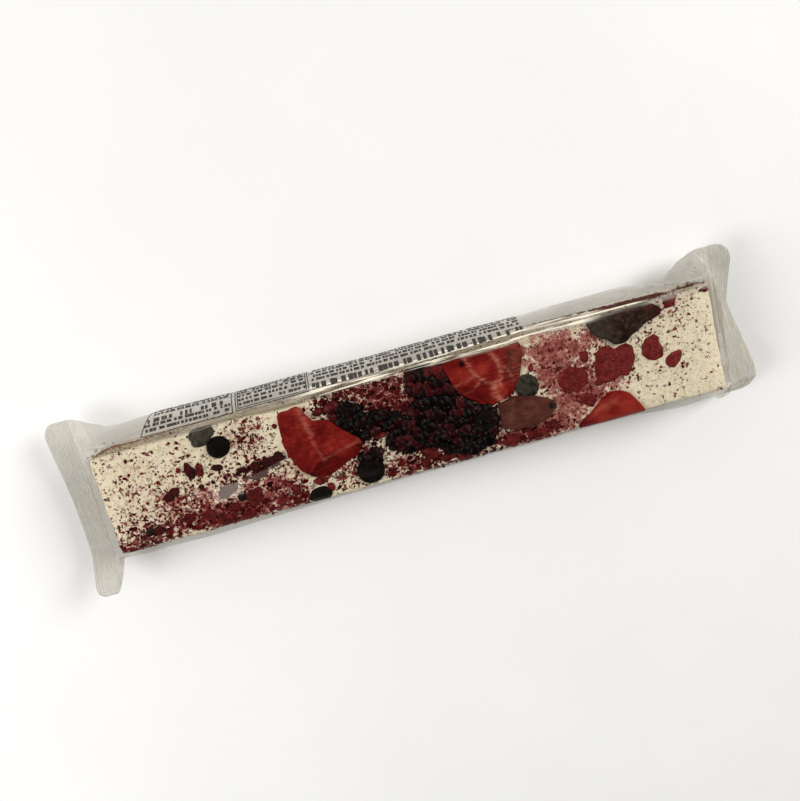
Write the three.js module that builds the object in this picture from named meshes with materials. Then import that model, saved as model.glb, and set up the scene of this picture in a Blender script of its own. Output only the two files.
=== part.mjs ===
import * as THREE from 'three';
import { ParametricGeometry } from 'three/addons/geometries/ParametricGeometry.js';
import { mergeVertices } from 'three/addons/utils/BufferGeometryUtils.js';

// A soft nougat bar topped with fruit, sealed in a tube of clear film that is crimped flat at both ends.
// The solid is the outer form of the sealed pack. Sizes are in millimetres, with +X along the bar,
// +Y towards the side with the printed panel and +Z up, and the origin in the middle of the underside.

// The bar inside, which the film lies against on top and underneath.
const BAR_LENGTH = 200;
const BAR_WIDTH = 32.5;
const BAR_WIDENING = 1.7;
const PACK_HEIGHT = 19.5;
const EDGE_RADIUS = 2.2;
const EDGE_DIP = { x: -36, reach: 10, depth: 1.3 };

// The film stands off both long sides. Each reach is from the bar's centre line to the middle of a side.
const PRINTED_SIDE_REACH = 23.2;
const PRINTED_SIDE_SWELL = { x: -75, reach: 15, out: 0.7 };
const PRINTED_SIDE_PINCH = { x: 86, reach: 6, out: -2.3 };
const PLAIN_SIDE_REACH = 17.6;
const PLAIN_SIDE_SWELLS = [
  { x: -75, reach: 36, out: 2.1 },
  { x: 88, reach: 13, out: 2.5 },
];

// Beyond the bar the film slopes together and is crimped into a flat seal, wider than the bar.
const END_SLOPE = 5.5;
const SEAL_DEPTH = 8;
const SEAL_RIBS = 6;
const SEAL_RIB_HEIGHT = 0.45;
const SEAL_THICKNESS = 0.7;

// Each seal runs out sideways in two ears: half its width, the radius of its outer corner, where the film
// starts and ends its spread (measured outwards from the bar's end), and how far the ear turns from level.
const EAR_FOLD = 17;
const SEALS = {
  left: {
    direction: -1,
    droop: { angle: 15, at: -4, reach: 27, sharpness: 2 },
    ears: {
      plain: { halfWidth: 30.3, corner: 3.5, spreadFrom: 2, spreadTo: 6.5, turn: 24 },
      printed: { halfWidth: 29.1, corner: 4, spreadFrom: -9, spreadTo: 6, turn: -3 },
    },
  },
  right: {
    direction: 1,
    droop: { angle: 40, at: 8, reach: 21, sharpness: 1.3 },
    ears: {
      plain: { halfWidth: 27, corner: 3, spreadFrom: -4, spreadTo: 5.5, turn: -56 },
      printed: { halfWidth: 28.6, corner: 7, spreadFrom: -14, spreadTo: 3, turn: 0 },
    },
  },
};

// Fruit that lifts the film on top: its place on the bar, half its length and width, and its height.
// The lift fades out over the last stretch before the bar's long edges.
const LIFT_FADE = 5;
const FRUIT_LUMPS = [
  { x: -62, y: 11, length: 6, width: 6, height: 0.8 },
  { x: -30, y: 4, length: 12, width: 11, height: 1.0 },
  { x: -16, y: -10, length: 6, width: 6, height: 0.9 },
  { x: -12, y: 4, length: 10, width: 8, height: 0.6 },
  { x: 15, y: -6, length: 11, width: 8, height: 0.9 },
  { x: 26, y: 9, length: 12, width: 9, height: 0.7 },
  { x: 37, y: -5, length: 9, width: 6, height: 0.5 },
  { x: 63, y: -12, length: 10, width: 6, height: 0.8 },
  { x: 66, y: 2, length: 8, width: 6, height: 0.6 },
  { x: 72, y: 13, length: 12, width: 6, height: 0.9 },
  { x: 80, y: 2, length: 6, width: 6, height: 0.6 },
];

// How finely the film is divided, along the bar and round it.
const BODY_STEPS = 34;
const EAR_STEPS = 5;
const EAR_RUN = 18;
const SLOPE_STEPS = 5;
const WALL_STEPS = 7;
const CORNER_SHARE = 0.5;
const PANEL_STEPS = 14;

const MID_HEIGHT = PACK_HEIGHT / 2;
const SEAL_END = END_SLOPE + SEAL_DEPTH;
const { smoothstep, lerp, degToRad } = THREE.MathUtils;

// A smooth hump of height 1 at distance 0, gone by about twice its reach.
function hump(distance, reach) {
  return Math.exp(-((distance / reach) ** 2));
}

// Half the bar's width on either side. The bar widens a little to the right on its printed side.
function barEdge(x, side) {
  if (side < 0) return BAR_WIDTH / 2;
  const widening = BAR_WIDENING * (x / BAR_LENGTH + 0.5);
  return BAR_WIDTH / 2 + widening - EDGE_DIP.depth * hump(x - EDGE_DIP.x, EDGE_DIP.reach);
}

// How far the film reaches from the centre line at mid-height, along the bar.
function sideReach(x, side) {
  const swells = side < 0 ? PLAIN_SIDE_SWELLS : [PRINTED_SIDE_SWELL, PRINTED_SIDE_PINCH];
  const start = side < 0 ? PLAIN_SIDE_REACH : PRINTED_SIDE_REACH;
  return swells.reduce((sum, swell) => sum + swell.out * hump(x - swell.x, swell.reach), start);
}

// The film's lift over the fruit on top of the bar, where neighbouring lumps run into each other.
function fruitLift(x, y) {
  const cubes = FRUIT_LUMPS.map((lump) => {
    const distance = Math.hypot((x - lump.x) / lump.length, (y - lump.y) / lump.width);
    return (lump.height * hump(distance, 1)) ** 3;
  });
  const lift = Math.cbrt(cubes.reduce((sum, cube) => sum + cube, 0));
  const flatEdge = barEdge(x, y) - EDGE_RADIUS;
  return lift * (1 - smoothstep(Math.abs(y), flatEdge - LIFT_FADE, flatEdge));
}

// The seal's half width, rounded off at its two outer corners.
function sealHalfWidth(ear, beyond) {
  const intoCorner = Math.max(0, beyond - (SEAL_END - ear.corner));
  const cut = ear.corner - Math.sqrt(ear.corner ** 2 - intoCorner ** 2);
  return ear.halfWidth - cut;
}

// One spot of the film before its seal is bent: across the bar, and up or down from mid-height.
function flatSpot(seal, x, beyond, lane) {
  const closing = smoothstep(beyond, 0, END_SLOPE);
  const sealUp = beyond >= SEAL_END ? 0 : SEAL_THICKNESS / 2;
  if (lane.side === 0) {
    const inner = lane.across < 0 ? -1 : 1;
    const y = Math.abs(lane.across) * inner * (barEdge(x, inner) - EDGE_RADIUS);
    return { y, up: lerp(MID_HEIGHT, sealUp, closing) };
  }
  const ear = lane.side < 0 ? seal.ears.plain : seal.ears.printed;
  const edge = barEdge(x, lane.side);
  const turn = Math.max(0, 1 - lane.wall / CORNER_SHARE) * (Math.PI / 2);
  const straight = Math.min(1, (1 - lane.wall) / (1 - CORNER_SHARE));
  const rise = straight * (MID_HEIGHT - EDGE_RADIUS) + EDGE_RADIUS * Math.sin(turn);
  const bulge = (sideReach(x, lane.side) - edge) * (1 - (rise / MID_HEIGHT) ** 2);
  const wallOut = edge - EDGE_RADIUS * (1 - Math.cos(turn)) + bulge;
  const sealOut = lerp(edge - EDGE_RADIUS, sealHalfWidth(ear, beyond), lane.wall);
  const spread = smoothstep(beyond, ear.spreadFrom, ear.spreadTo);
  const up = lane.wall === 1 ? 0 : lerp(rise, sealUp, closing);
  return { y: lane.side * lerp(wallOut, sealOut, spread), up };
}

// The ears of a seal turn up or down, outside the width of the bar.
function turnEar(seal, beyond, y) {
  const ear = y < 0 ? seal.ears.plain : seal.ears.printed;
  const out = Math.abs(y) - EAR_FOLD;
  if (out <= 0) return { y, lift: 0 };
  const turn = degToRad(ear.turn) * smoothstep(beyond, ear.spreadFrom, ear.spreadTo);
  return { y: Math.sign(y) * (EAR_FOLD + out * Math.cos(turn)), lift: out * Math.sin(turn) };
}

// How far the seal hangs down at a place across it, in radians.
function droopAngle(droop, y) {
  const away = Math.abs(y - droop.at) / droop.reach;
  return degToRad(droop.angle) * Math.max(0, 1 - away ** droop.sharpness);
}

// One spot of the film in place. A ring is one closed line round the film, and a lane one line along it.
function filmSpot(ring, lane, target) {
  const seal = ring.x < 0 ? SEALS.left : SEALS.right;
  const beyond = Math.abs(ring.x) - BAR_LENGTH / 2;
  const spot = flatSpot(seal, ring.x, beyond, lane);
  const up = lane.face * spot.up + ring.rib;
  const turned = turnEar(seal, beyond, spot.y);
  const onTop = lane.face > 0 && lane.side === 0 && beyond < 0;
  const lift = onTop ? fruitLift(ring.x, spot.y) : 0;
  if (beyond <= 0) {
    return target.set(ring.x, turned.y, MID_HEIGHT + up + turned.lift + lift);
  }
  const droop = droopAngle(seal.droop, spot.y);
  const bent = droop * Math.min(1, beyond / END_SLOPE);
  const sloped = Math.min(beyond, END_SLOPE);
  const sealed = Math.max(0, beyond - END_SLOPE);
  const out = sloped * Math.cos(bent / 2) + sealed * Math.cos(droop) + up * Math.sin(bent);
  const down = sloped * Math.sin(bent / 2) + sealed * Math.sin(droop) - up * Math.cos(bent);
  return target.set(seal.direction * (BAR_LENGTH / 2 + out), turned.y, MID_HEIGHT - down + turned.lift);
}

// The rings from one end of the pack to the other: crimped seal, slope, ears, bar, and back.
function filmRings() {
  const rightHalf = [];
  const ribSteps = SEAL_RIBS * 2;
  for (let k = 0; k < EAR_STEPS; k++) {
    rightHalf.push({ x: BAR_LENGTH / 2 - EAR_RUN * (1 - k / EAR_STEPS), rib: 0 });
  }
  for (let k = 0; k < SLOPE_STEPS; k++) {
    rightHalf.push({ x: BAR_LENGTH / 2 + (END_SLOPE * k) / SLOPE_STEPS, rib: 0 });
  }
  for (let k = 0; k <= ribSteps; k++) {
    const rib = k % 2 === 0 ? -SEAL_RIB_HEIGHT / 2 : SEAL_RIB_HEIGHT / 2;
    rightHalf.push({ x: BAR_LENGTH / 2 + END_SLOPE + (SEAL_DEPTH * k) / ribSteps, rib });
  }
  const bodyEnd = BAR_LENGTH / 2 - EAR_RUN;
  const body = [];
  for (let k = 1; k < BODY_STEPS; k++) {
    body.push({ x: lerp(-bodyEnd, bodyEnd, k / BODY_STEPS), rib: 0 });
  }
  const leftHalf = rightHalf.map((ring) => ({ x: -ring.x, rib: ring.rib })).reverse();
  return [...leftHalf, ...body, ...rightHalf];
}

// The lanes round the film: over the top from the printed side to the plain one, and back underneath.
function filmLanes() {
  const over = [];
  for (let k = 0; k < WALL_STEPS; k++) {
    over.push({ face: 1, side: 1, wall: 1 - k / WALL_STEPS });
  }
  for (let k = 0; k <= PANEL_STEPS; k++) {
    over.push({ face: 1, side: 0, across: 1 - (2 * k) / PANEL_STEPS });
  }
  for (let k = WALL_STEPS - 1; k >= 0; k--) {
    over.push({ face: 1, side: -1, wall: 1 - k / WALL_STEPS });
  }
  const under = over.map((lane) => ({ ...lane, face: -1 })).reverse();
  return [...over, ...under.slice(1)];
}

function sealedPack() {
  const rings = filmRings();
  const lanes = filmLanes();
  const slices = lanes.length - 1;
  const stacks = rings.length - 1;
  const surface = new ParametricGeometry((u, v, target) => {
    return filmSpot(rings[Math.round(v * stacks)], lanes[Math.round(u * slices)], target);
  }, slices, stacks);
  surface.deleteAttribute('normal');
  surface.deleteAttribute('uv');
  const geometry = mergeVertices(surface);
  geometry.computeVertexNormals();
  const material = new THREE.MeshStandardMaterial({ color: 0xc9a894, roughness: 0.25, metalness: 0 });
  const mesh = new THREE.Mesh(geometry, material);
  mesh.name = 'sealed_pack';
  return mesh;
}

const nougatBar = new THREE.Group();
nougatBar.add(sealedPack());

export default nougatBar;
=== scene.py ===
import math

import bpy
import numpy as np
from mathutils import Matrix, Vector, noise


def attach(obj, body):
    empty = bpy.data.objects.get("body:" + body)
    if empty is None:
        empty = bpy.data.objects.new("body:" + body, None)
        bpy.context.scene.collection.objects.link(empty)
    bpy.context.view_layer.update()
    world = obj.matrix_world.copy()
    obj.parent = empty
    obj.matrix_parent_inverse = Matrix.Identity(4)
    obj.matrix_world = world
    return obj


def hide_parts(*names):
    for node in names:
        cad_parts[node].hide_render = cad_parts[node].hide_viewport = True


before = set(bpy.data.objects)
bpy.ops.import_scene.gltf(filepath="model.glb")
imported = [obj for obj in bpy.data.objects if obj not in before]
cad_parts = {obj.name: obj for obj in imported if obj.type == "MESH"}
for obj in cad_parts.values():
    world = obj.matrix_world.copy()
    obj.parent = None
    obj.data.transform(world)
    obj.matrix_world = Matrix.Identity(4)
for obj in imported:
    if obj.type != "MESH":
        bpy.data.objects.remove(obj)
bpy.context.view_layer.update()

# The nougat. Honey, sugar and egg white whipped to a soft cream, poured as a sheet and cut into bars with a
# blade: straight sides, soft edges, and a top as uneven as the fruit that is pressed into it.
# Sizes in this file are millimetres in the frame of the pack, and MM makes them Blender's metres.
MM = 0.001
BAR_LENGTH = 200
BAR_WIDTH = 32.5
BAR_WIDENING = 1.7
EDGE_DIP = {"x": -36, "reach": 10, "depth": 1.3}
NOUGAT_UNDERSIDE = 0.4
NOUGAT_TOP = 17.9
NOUGAT_EDGE_RADIUS = 1.3
NOUGAT_CORNER_SHARE = 0.25
NOUGAT_WAVES = [(0.30, 15), (0.20, 4.5), (0.10, 1.4)]
NOUGAT_SWELL_LIMIT = 0.55
NOUGAT_SAG = 0.2
FACING_UP = 0.1
# How much of the dust lies on the cut sides, at the foot and near the top, and how strongly the sides are
# painted darker as shade.
SIDE_DUST = 0.12
UPPER_SIDE_DUST = 0.4
CUT_SIDE_SHADE = 0.85
# Where chunks and specks get fewer: the share that goes, and from where to where along the bar.
CHUNK_FADE = (0.85, 38, 44)
SPECK_FADE = (0.65, 40, 70)
SPECKS_UNDER_POWDER = 0.85
BACKGROUND_DUST = 0.042
# Where fruit dust lies thick: place, reach along and across the bar, amount, and how dark it is.
DUST_PATCHES = [
    (-85, 4, 18, 14, 0.23, 0.1), (-95, -15, 7, 3, 0.75, 0.3), (-86, -12, 7, 4, 0.7, 0.4),
    (-76, -10.5, 8, 4, 0.7, 0.3), (-66, -13, 9, 3.5, 0.95, 0.4), (-56, -12, 8, 5, 0.9, 0.4),
    (-47, -8, 9, 9, 0.55, 0.3), (-41, -13, 6, 5, 0.7, 0.3), (-51, -1, 8, 2.5, 0.8, 0.9),
    (-70, -2, 6, 4, 0.35, 0.2), (-79, -4, 6, 3.5, 0.42, 0.4), (-61, -5, 6, 3.5, 0.35, 0.4),
    (-92, -9, 8, 5, 0.4, 0.3), (-61, 0, 5, 3, 0.35, 0.3), (-51, 10, 6, 7, 0.55, 0.5),
    (-6, 11, 8, 7, 0.95, 0.45), (-17, 15, 9, 3, 0.85, 0.5), (-25, 12, 5, 4, 0.7, 0.7),
    (-17, 5, 8, 8, 0.95, 0.95), (-6, 3, 6, 4, 0.9, 0.9), (0, 3, 6, 5, 0.95, 0.8),
    (-6, -13, 7, 4, 0.75, 0.35), (-23, -9.5, 7, 5, 0.6, 0.3), (0, -4, 10, 6, 0.95, 0.9),
    (9, 12, 8, 6, 0.95, 0.7), (11, 3, 7, 5, 0.85, 0.9), (16, -6, 11, 8, 0.95, 0.95),
    (4, -12, 7, 4, 0.9, 0.5), (14, -14, 7, 3, 0.85, 0.5), (49, 11, 10, 7, 0.25, 0.1),
    (46, 2, 7, 6, 0.3, 0.2), (52, 0, 7, 5, 0.3, 0.4), (52, -7, 9, 7, 0.3, 0.3), (58, 4, 5, 6, 0.25, 0.2),
    (35, -13, 14, 4, 0.9, 0.5), (61, 10, 5, 6, 0.3, 0.1), (64, -4, 7, 3, 0.35, 0.2),
    (76, 8, 6, 4, 0.15, 0.3), (88, 12, 5, 4, 0.35, 0.0), (86, 0, 16, 16, 0.11, 0.0),
    # The dark patch at (31, 1.8) is partly fruit dust and partly painted shade at the foot of the
    # strawberry pieces.
    (31, 1.8, 3, 2.5, 0.95, 0.9), (-18, -3.5, 4, 2.5, 0.8, 0.5),
]
# Where raspberries were crushed to powder in the cream: place, reach along and across the bar, and amount.
POWDER_PATCHES = [
    (47, 12, 7.5, 4.5, 0.85), (53, 9, 7, 4, 0.7), (45.5, 4, 4, 5, 0.9), (53, 0, 6, 5, 0.95),
    (51, -6, 7, 4, 0.85), (46, -11.5, 6, 4, 0.75), (58, -5, 5, 4, 0.8), (61, 12, 3, 4, 0.5),
    (65, -5, 5, 2.5, 0.35), (31, -13, 6, 2.5, 0.9), (39, -13.5, 7, 2.5, 0.9), (-5, 11, 7, 6, 0.5),
    (-6, -12.5, 5, 3, 0.4), (-20, -12, 5, 4, 0.2), (-77, -5, 8, 4, 0.32), (-62, -12, 14, 4.5, 0.8),
    (-47, -8, 8, 7, 0.5), (-52, 10, 5, 5, 0.3), (-68, -5, 6, 3, 0.25), (-88, 2, 14, 12, 0.12),
    (-12, 12, 6, 5, 0.55), (8, 6, 8, 2.5, 1.0),
]
CREAM = (250, 238, 211)
CREAM_SHADE = (232, 215, 182)
# Painted shade: the darker cream that the bar's sides are turned towards.
SIDE_SHADE_CREAM = (192, 174, 141)
# Fruit flakes in the cream: their size, their share of the dust, and how thick it lies before they come in.
FLAKES = [(0.45, 0.5, 0.0), (0.85, 0.6, 0.03), (1.6, 0.55, 0.32)]
FLAKE_TONES = [(0.0, (46, 6, 9)), (0.35, (92, 12, 17)), (0.7, (122, 24, 27)), (0.95, (170, 92, 84))]
DARK_FLAKE = (16, 4, 5)
FRUIT_STAIN = (178, 112, 98)
POWDER_TONES = [(0.6, (210, 162, 146)), (0.74, (174, 106, 95)), (0.9, (138, 68, 62)), (1.0, (106, 38, 37))]


def hump(distance, reach):
    return np.exp(-((distance / reach) ** 2))


def ease(value, start, end):
    share = np.clip((value - start) / (end - start), 0, 1)
    return share * share * (3 - 2 * share)


def fading(value, share, start, end):
    return 1 - share * ease(value, start, end)


def bar_edge(x, side):
    widening = BAR_WIDENING * (x / BAR_LENGTH + 0.5)
    dip = EDGE_DIP["depth"] * hump(x - EDGE_DIP["x"], EDGE_DIP["reach"])
    return BAR_WIDTH / 2 + np.where(side > 0, widening - dip, 0)


def lanes_round(wall_steps, panel_steps):
    """Lines along a bar, from its printed side over the top to the other side, and back underneath."""
    wall = 1 - np.arange(wall_steps) / wall_steps
    panel = np.zeros(panel_steps + 1)
    ones = np.ones(wall_steps)
    over = np.stack([
        np.ones(2 * wall_steps + panel_steps + 1),
        np.concatenate([ones, panel, -ones]),
        np.concatenate([wall, panel, wall[::-1]]),
        np.concatenate([ones, np.linspace(1, -1, panel_steps + 1), -ones]),
    ])
    under = over[:, -2:0:-1].copy()
    under[0] = -1
    return np.concatenate([over, under], axis=1)


def closed_tube(rings):
    """Faces of a tube of rings whose first and last rings are pressed flat and closed."""
    count, lanes = rings.shape[:2]
    index = np.arange(count * lanes).reshape(count, lanes)
    pressed = np.minimum(np.arange(lanes), (lanes - np.arange(lanes)) % lanes)
    index[0] = index[0][pressed]
    index[-1] = index[-1][pressed]
    beside = np.roll(index, -1, axis=1)
    faces = np.stack([index[:-1], beside[:-1], beside[1:], index[1:]], axis=-1).reshape(-1, 4)
    used, faces = np.unique(faces, return_inverse=True)
    return used, faces.reshape(-1, 4)


def new_piece(name, points, faces, material, values=None):
    mesh = bpy.data.meshes.new(name)
    mesh.from_pydata((np.asarray(points) * MM).tolist(), [], [list(map(int, face)) for face in faces])
    for label, numbers in (values or {}).items():
        attribute = mesh.attributes.new(label, "FLOAT", "POINT")
        attribute.data.foreach_set("value", np.asarray(numbers, dtype=np.float32))
    mesh.materials.append(material)
    mesh.shade_smooth()
    mesh.update()
    piece = bpy.data.objects.new(name, mesh)
    bpy.context.scene.collection.objects.link(piece)
    return piece


def wave(points, size, shift=0.0):
    offset = Vector((shift, shift * 0.7, shift * 1.3))
    return np.array([noise.noise(Vector(point) / size + offset) for point in points])


def normals_of(points, faces):
    """Outward direction at each point of a mesh of four-sided faces."""
    corners = points[faces]
    across = np.cross(corners[:, 2] - corners[:, 0], corners[:, 3] - corners[:, 1])
    total = np.zeros_like(points)
    for corner in range(4):
        np.add.at(total, faces[:, corner], across)
    return total / np.maximum(np.linalg.norm(total, axis=1, keepdims=True), 1e-12)


def dust_at(x, y):
    """How thick the fruit dust lies at a place, and how dark it is there."""
    bare = np.ones_like(x) * (1 - BACKGROUND_DUST)
    dark = np.full_like(x, 0.3 * BACKGROUND_DUST)
    total = np.full_like(x, BACKGROUND_DUST)
    for place_x, place_y, along, width, amount, darkness in DUST_PATCHES:
        here = amount * hump(np.hypot((x - place_x) / along, (y - place_y) / width), 1)
        bare = bare * (1 - here)
        dark = dark + here ** 2 * darkness
        total = total + here ** 2
    return 1 - bare, dark / total


def powder_at(x, y):
    """How thick crushed raspberry lies at a place."""
    bare = np.ones_like(x)
    for place_x, place_y, along, width, amount in POWDER_PATCHES:
        bare = bare * (1 - amount * hump(np.hypot((x - place_x) / along, (y - place_y) / width), 1))
    return 1 - bare


def paint(red, green, blue):
    """A colour as it shows on a screen, 0 to 255, as the shader's linear colour."""
    shown = np.array([red, green, blue]) / 255
    linear = np.where(shown < 0.04045, shown / 12.92, ((shown + 0.055) / 1.055) ** 2.4)
    return (*linear.tolist(), 1.0)


def add_node(tree, kind, inputs=None, **settings):
    node = tree.nodes.new(kind)
    for name, value in settings.items():
        setattr(node, name, value)
    for name, value in (inputs or {}).items():
        if isinstance(value, bpy.types.NodeSocket):
            tree.links.new(value, node.inputs[name])
        else:
            node.inputs[name].default_value = value
    return node


def bare_finish(name):
    material = bpy.data.materials.new(name)
    material.use_nodes = True
    material.node_tree.nodes.clear()
    return material, material.node_tree


def new_finish(name):
    material, tree = bare_finish(name)
    shader = add_node(tree, "ShaderNodeBsdfPrincipled")
    output = add_node(tree, "ShaderNodeOutputMaterial")
    tree.links.new(shader.outputs["BSDF"], output.inputs["Surface"])
    return material, tree, shader


def mottle(tree, size, detail=3.0, roughness=0.55, stretch=(1, 1, 1), turn=(0, 0, 0)):
    place = add_node(tree, "ShaderNodeTexCoord").outputs["Object"]
    if stretch != (1, 1, 1) or turn != (0, 0, 0):
        mapping = add_node(tree, "ShaderNodeMapping", {"Vector": place, "Scale": stretch, "Rotation": turn})
        place = mapping.outputs["Vector"]
    settings = {"Vector": place, "Scale": 1 / (size * MM), "Detail": detail, "Roughness": roughness}
    return add_node(tree, "ShaderNodeTexNoise", settings).outputs["Fac"]


def ramp(tree, factor, stops):
    node = add_node(tree, "ShaderNodeValToRGB", {"Fac": factor})
    elements = node.color_ramp.elements
    while len(elements) < len(stops):
        elements.new(1.0)
    for element, (place, colour) in zip(elements, stops):
        element.position = place
        element.color = paint(*colour)
    return node.outputs["Color"]


def level(tree, factor, low, high):
    settings = {"Value": factor, "From Min": low, "From Max": high}
    return add_node(tree, "ShaderNodeMapRange", settings, interpolation_type="SMOOTHSTEP").outputs["Result"]


def sums(tree, operation, first, second):
    return add_node(tree, "ShaderNodeMath", {0: first, 1: second}, operation=operation).outputs["Value"]


def blend(tree, factor, first, second):
    node = add_node(tree, "ShaderNodeMix", data_type="RGBA")
    for socket, value in zip((node.inputs[0], node.inputs[6], node.inputs[7]), (factor, first, second)):
        if isinstance(value, bpy.types.NodeSocket):
            tree.links.new(value, socket)
        else:
            socket.default_value = value
    return node.outputs[2]


def times(tree, first, second):
    return sums(tree, "MULTIPLY", first, second)


def plus(tree, base, extra, share):
    inputs = {0: extra, 1: share, 2: base}
    return add_node(tree, "ShaderNodeMath", inputs, operation="MULTIPLY_ADD").outputs["Value"]


def vectors(tree, operation, inputs):
    return add_node(tree, "ShaderNodeVectorMath", inputs, operation=operation).outputs["Vector"]


def value_on(tree, label):
    return add_node(tree, "ShaderNodeAttribute", attribute_name=label).outputs["Fac"]


def dress(tree, shader, colour, roughness, gloss, bumps, depth):
    """Gives a finish its colour, its roughness and gloss, and bumps of one depth."""
    tree.links.new(colour, shader.inputs["Base Color"])
    shader.inputs["Roughness"].default_value = roughness
    shader.inputs["Specular IOR Level"].default_value = gloss
    bump = add_node(tree, "ShaderNodeBump", {"Height": bumps, "Distance": depth * MM, "Strength": 1.0})
    tree.links.new(bump.outputs["Normal"], shader.inputs["Normal"])


def flakes(tree, place, size):
    """Two random numbers for each flake of a broken pattern."""
    cells = add_node(tree, "ShaderNodeTexVoronoi", {"Vector": place, "Scale": 1 / (size * MM)})
    numbers = add_node(tree, "ShaderNodeSeparateColor", {"Color": cells.outputs["Color"]})
    return numbers.outputs[0], numbers.outputs[1]


def nougat_finish():
    material, tree, shader = new_finish("cream nougat with fruit dust")
    cream = ramp(tree, mottle(tree, 1.6, detail=6, roughness=0.7), [(0.36, CREAM_SHADE), (0.56, CREAM)])
    # Painted shade: the cream turns darker on the sides, the more they lean away from the top.
    cream = blend(tree, value_on(tree, "painted_side_shade"), cream, paint(*SIDE_SHADE_CREAM))
    clump = plus(tree, value_on(tree, "fruit_dust"), mottle(tree, 3, detail=3), 0.55)
    amount = sums(tree, "SUBTRACT", clump, 0.275)
    stain = times(tree, level(tree, amount, 0.1, 0.8), level(tree, mottle(tree, 1.4, detail=6), 0.3, 0.6))
    cream = blend(tree, times(tree, stain, 0.4), cream, paint(*FRUIT_STAIN))
    marbling = times(tree, mottle(tree, 1.3, detail=8, roughness=0.72), 0.95)
    marbling = plus(tree, marbling, mottle(tree, 4.5, detail=4), 0.75)
    strewn = plus(tree, sums(tree, "SUBTRACT", marbling, 0.35), value_on(tree, "powder"), 0.37)
    shown = times(tree, level(tree, strewn, 0.56, 0.66), level(tree, value_on(tree, "powder"), 0.02, 0.2))
    cream = blend(tree, shown, cream, ramp(tree, strewn, POWDER_TONES))
    place = add_node(tree, "ShaderNodeTexCoord").outputs["Object"]
    tear = add_node(tree, "ShaderNodeTexNoise", {"Vector": place, "Scale": 1 / (0.7 * MM), "Detail": 2.0})
    shift = vectors(tree, "SCALE", {0: tear.outputs["Color"], "Scale": 0.9 * MM})
    torn = vectors(tree, "ADD", {0: place, 1: shift})
    colour = cream
    for size, share, thin in FLAKES:
        chance, tone = flakes(tree, torn, size)
        red = ramp(tree, plus(tree, tone, value_on(tree, "powder"), 0.3), FLAKE_TONES)
        red = blend(tree, value_on(tree, "dark_dust"), red, paint(*DARK_FLAKE))
        over = times(tree, sums(tree, "SUBTRACT", amount, thin), share)
        over = sums(tree, "SUBTRACT", over, chance)
        colour = blend(tree, level(tree, over, -0.03, 0.07), colour, red)
    bumps = mottle(tree, 0.8, detail=5, roughness=0.7)
    dress(tree, shader, colour, roughness=0.62, gloss=0.06, bumps=bumps, depth=0.5)
    shader.inputs["Subsurface Weight"].default_value = 0.1
    shader.inputs["Subsurface Scale"].default_value = 1.0 * MM
    return material


def nougat_rings():
    """Each ring of the bar: its place, how far its edge is rounded in, and how far it is open."""
    arc = np.linspace(0, math.pi / 2, 6)
    body = np.linspace(-BAR_LENGTH / 2 + NOUGAT_EDGE_RADIUS, BAR_LENGTH / 2 - NOUGAT_EDGE_RADIUS, 250)
    closing = np.linspace(1, 0, 11)[1:]
    arc_x = BAR_LENGTH / 2 - NOUGAT_EDGE_RADIUS * (1 - np.sin(arc[1:]))
    arc_in = NOUGAT_EDGE_RADIUS * (1 - np.cos(arc[1:]))
    end_x = np.concatenate([arc_x, np.full(closing.size, BAR_LENGTH / 2)])
    end_in = np.concatenate([arc_in, np.full(closing.size, NOUGAT_EDGE_RADIUS)])
    end_open = np.concatenate([np.ones(arc_x.size), closing])
    x = np.concatenate([-end_x[::-1], body, end_x])
    inset = np.concatenate([end_in[::-1], np.zeros(body.size), end_in])
    open_share = np.concatenate([end_open[::-1], np.ones(body.size), end_open])
    return x[:, None], inset[:, None], open_share[:, None]


def nougat_points():
    x, inset, open_share = nougat_rings()
    face, side, wall, across = lanes_round(wall_steps=14, panel_steps=44)
    radius = NOUGAT_EDGE_RADIUS - inset
    half_height = (NOUGAT_TOP - NOUGAT_UNDERSIDE) / 2 - inset
    edge = bar_edge(x, across) - inset
    turn = np.maximum(0, 1 - wall / NOUGAT_CORNER_SHARE) * math.pi / 2
    straight = np.minimum(1, (1 - wall) / (1 - NOUGAT_CORNER_SHARE))
    rise = straight * (half_height - radius) + radius * np.sin(turn)
    on_wall = side * (edge - radius * (1 - np.cos(turn)))
    y = np.where(side == 0, across * (edge - radius), on_wall)
    z = (NOUGAT_TOP + NOUGAT_UNDERSIDE) / 2 + face * rise * open_share
    rings = np.stack([np.broadcast_to(x, y.shape), y, z], axis=-1)
    used, faces = closed_tube(rings)
    points = rings.reshape(-1, 3)[used]
    outward = normals_of(points, faces)
    height = sum(amount * wave(points, size) for amount, size in NOUGAT_WAVES)
    points = points + outward * np.minimum(height, NOUGAT_SWELL_LIMIT)[:, None]
    points[:, 2] = np.maximum(points[:, 2], NOUGAT_UNDERSIDE - NOUGAT_SAG)
    return points, faces, outward


bar_points, bar_faces, bar_outward = nougat_points()
bar_x, bar_y, bar_z = bar_points.T
bar_upward = bar_outward[:, 2]
bar_dust, bar_dark = dust_at(bar_x, bar_y)
bar_dust *= np.where(bar_upward > FACING_UP, 1.0, SIDE_DUST + UPPER_SIDE_DUST * ease(bar_z, 12, 17.5))
bar_powder = powder_at(bar_x, bar_y) * (bar_upward > FACING_UP)
# Painted shade: the more a face leans to the side, the darker its cream is painted.
bar_side_shade = CUT_SIDE_SHADE * (1 - ease(bar_upward, 0.2, 0.8))
bar_chunks = bar_dust * fading(bar_x, *CHUNK_FADE)
bar_open = (1 - SPECKS_UNDER_POWDER * bar_powder) * fading(bar_x, *SPECK_FADE)
nougat = new_piece("nougat", bar_points, bar_faces, nougat_finish(), {
    "fruit_dust": bar_dust, "dark_dust": bar_dark, "powder": bar_powder, "painted_side_shade": bar_side_shade,
    "fruit_chunks": bar_chunks, "open_cream": bar_open})
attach(nougat, "root")

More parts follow.
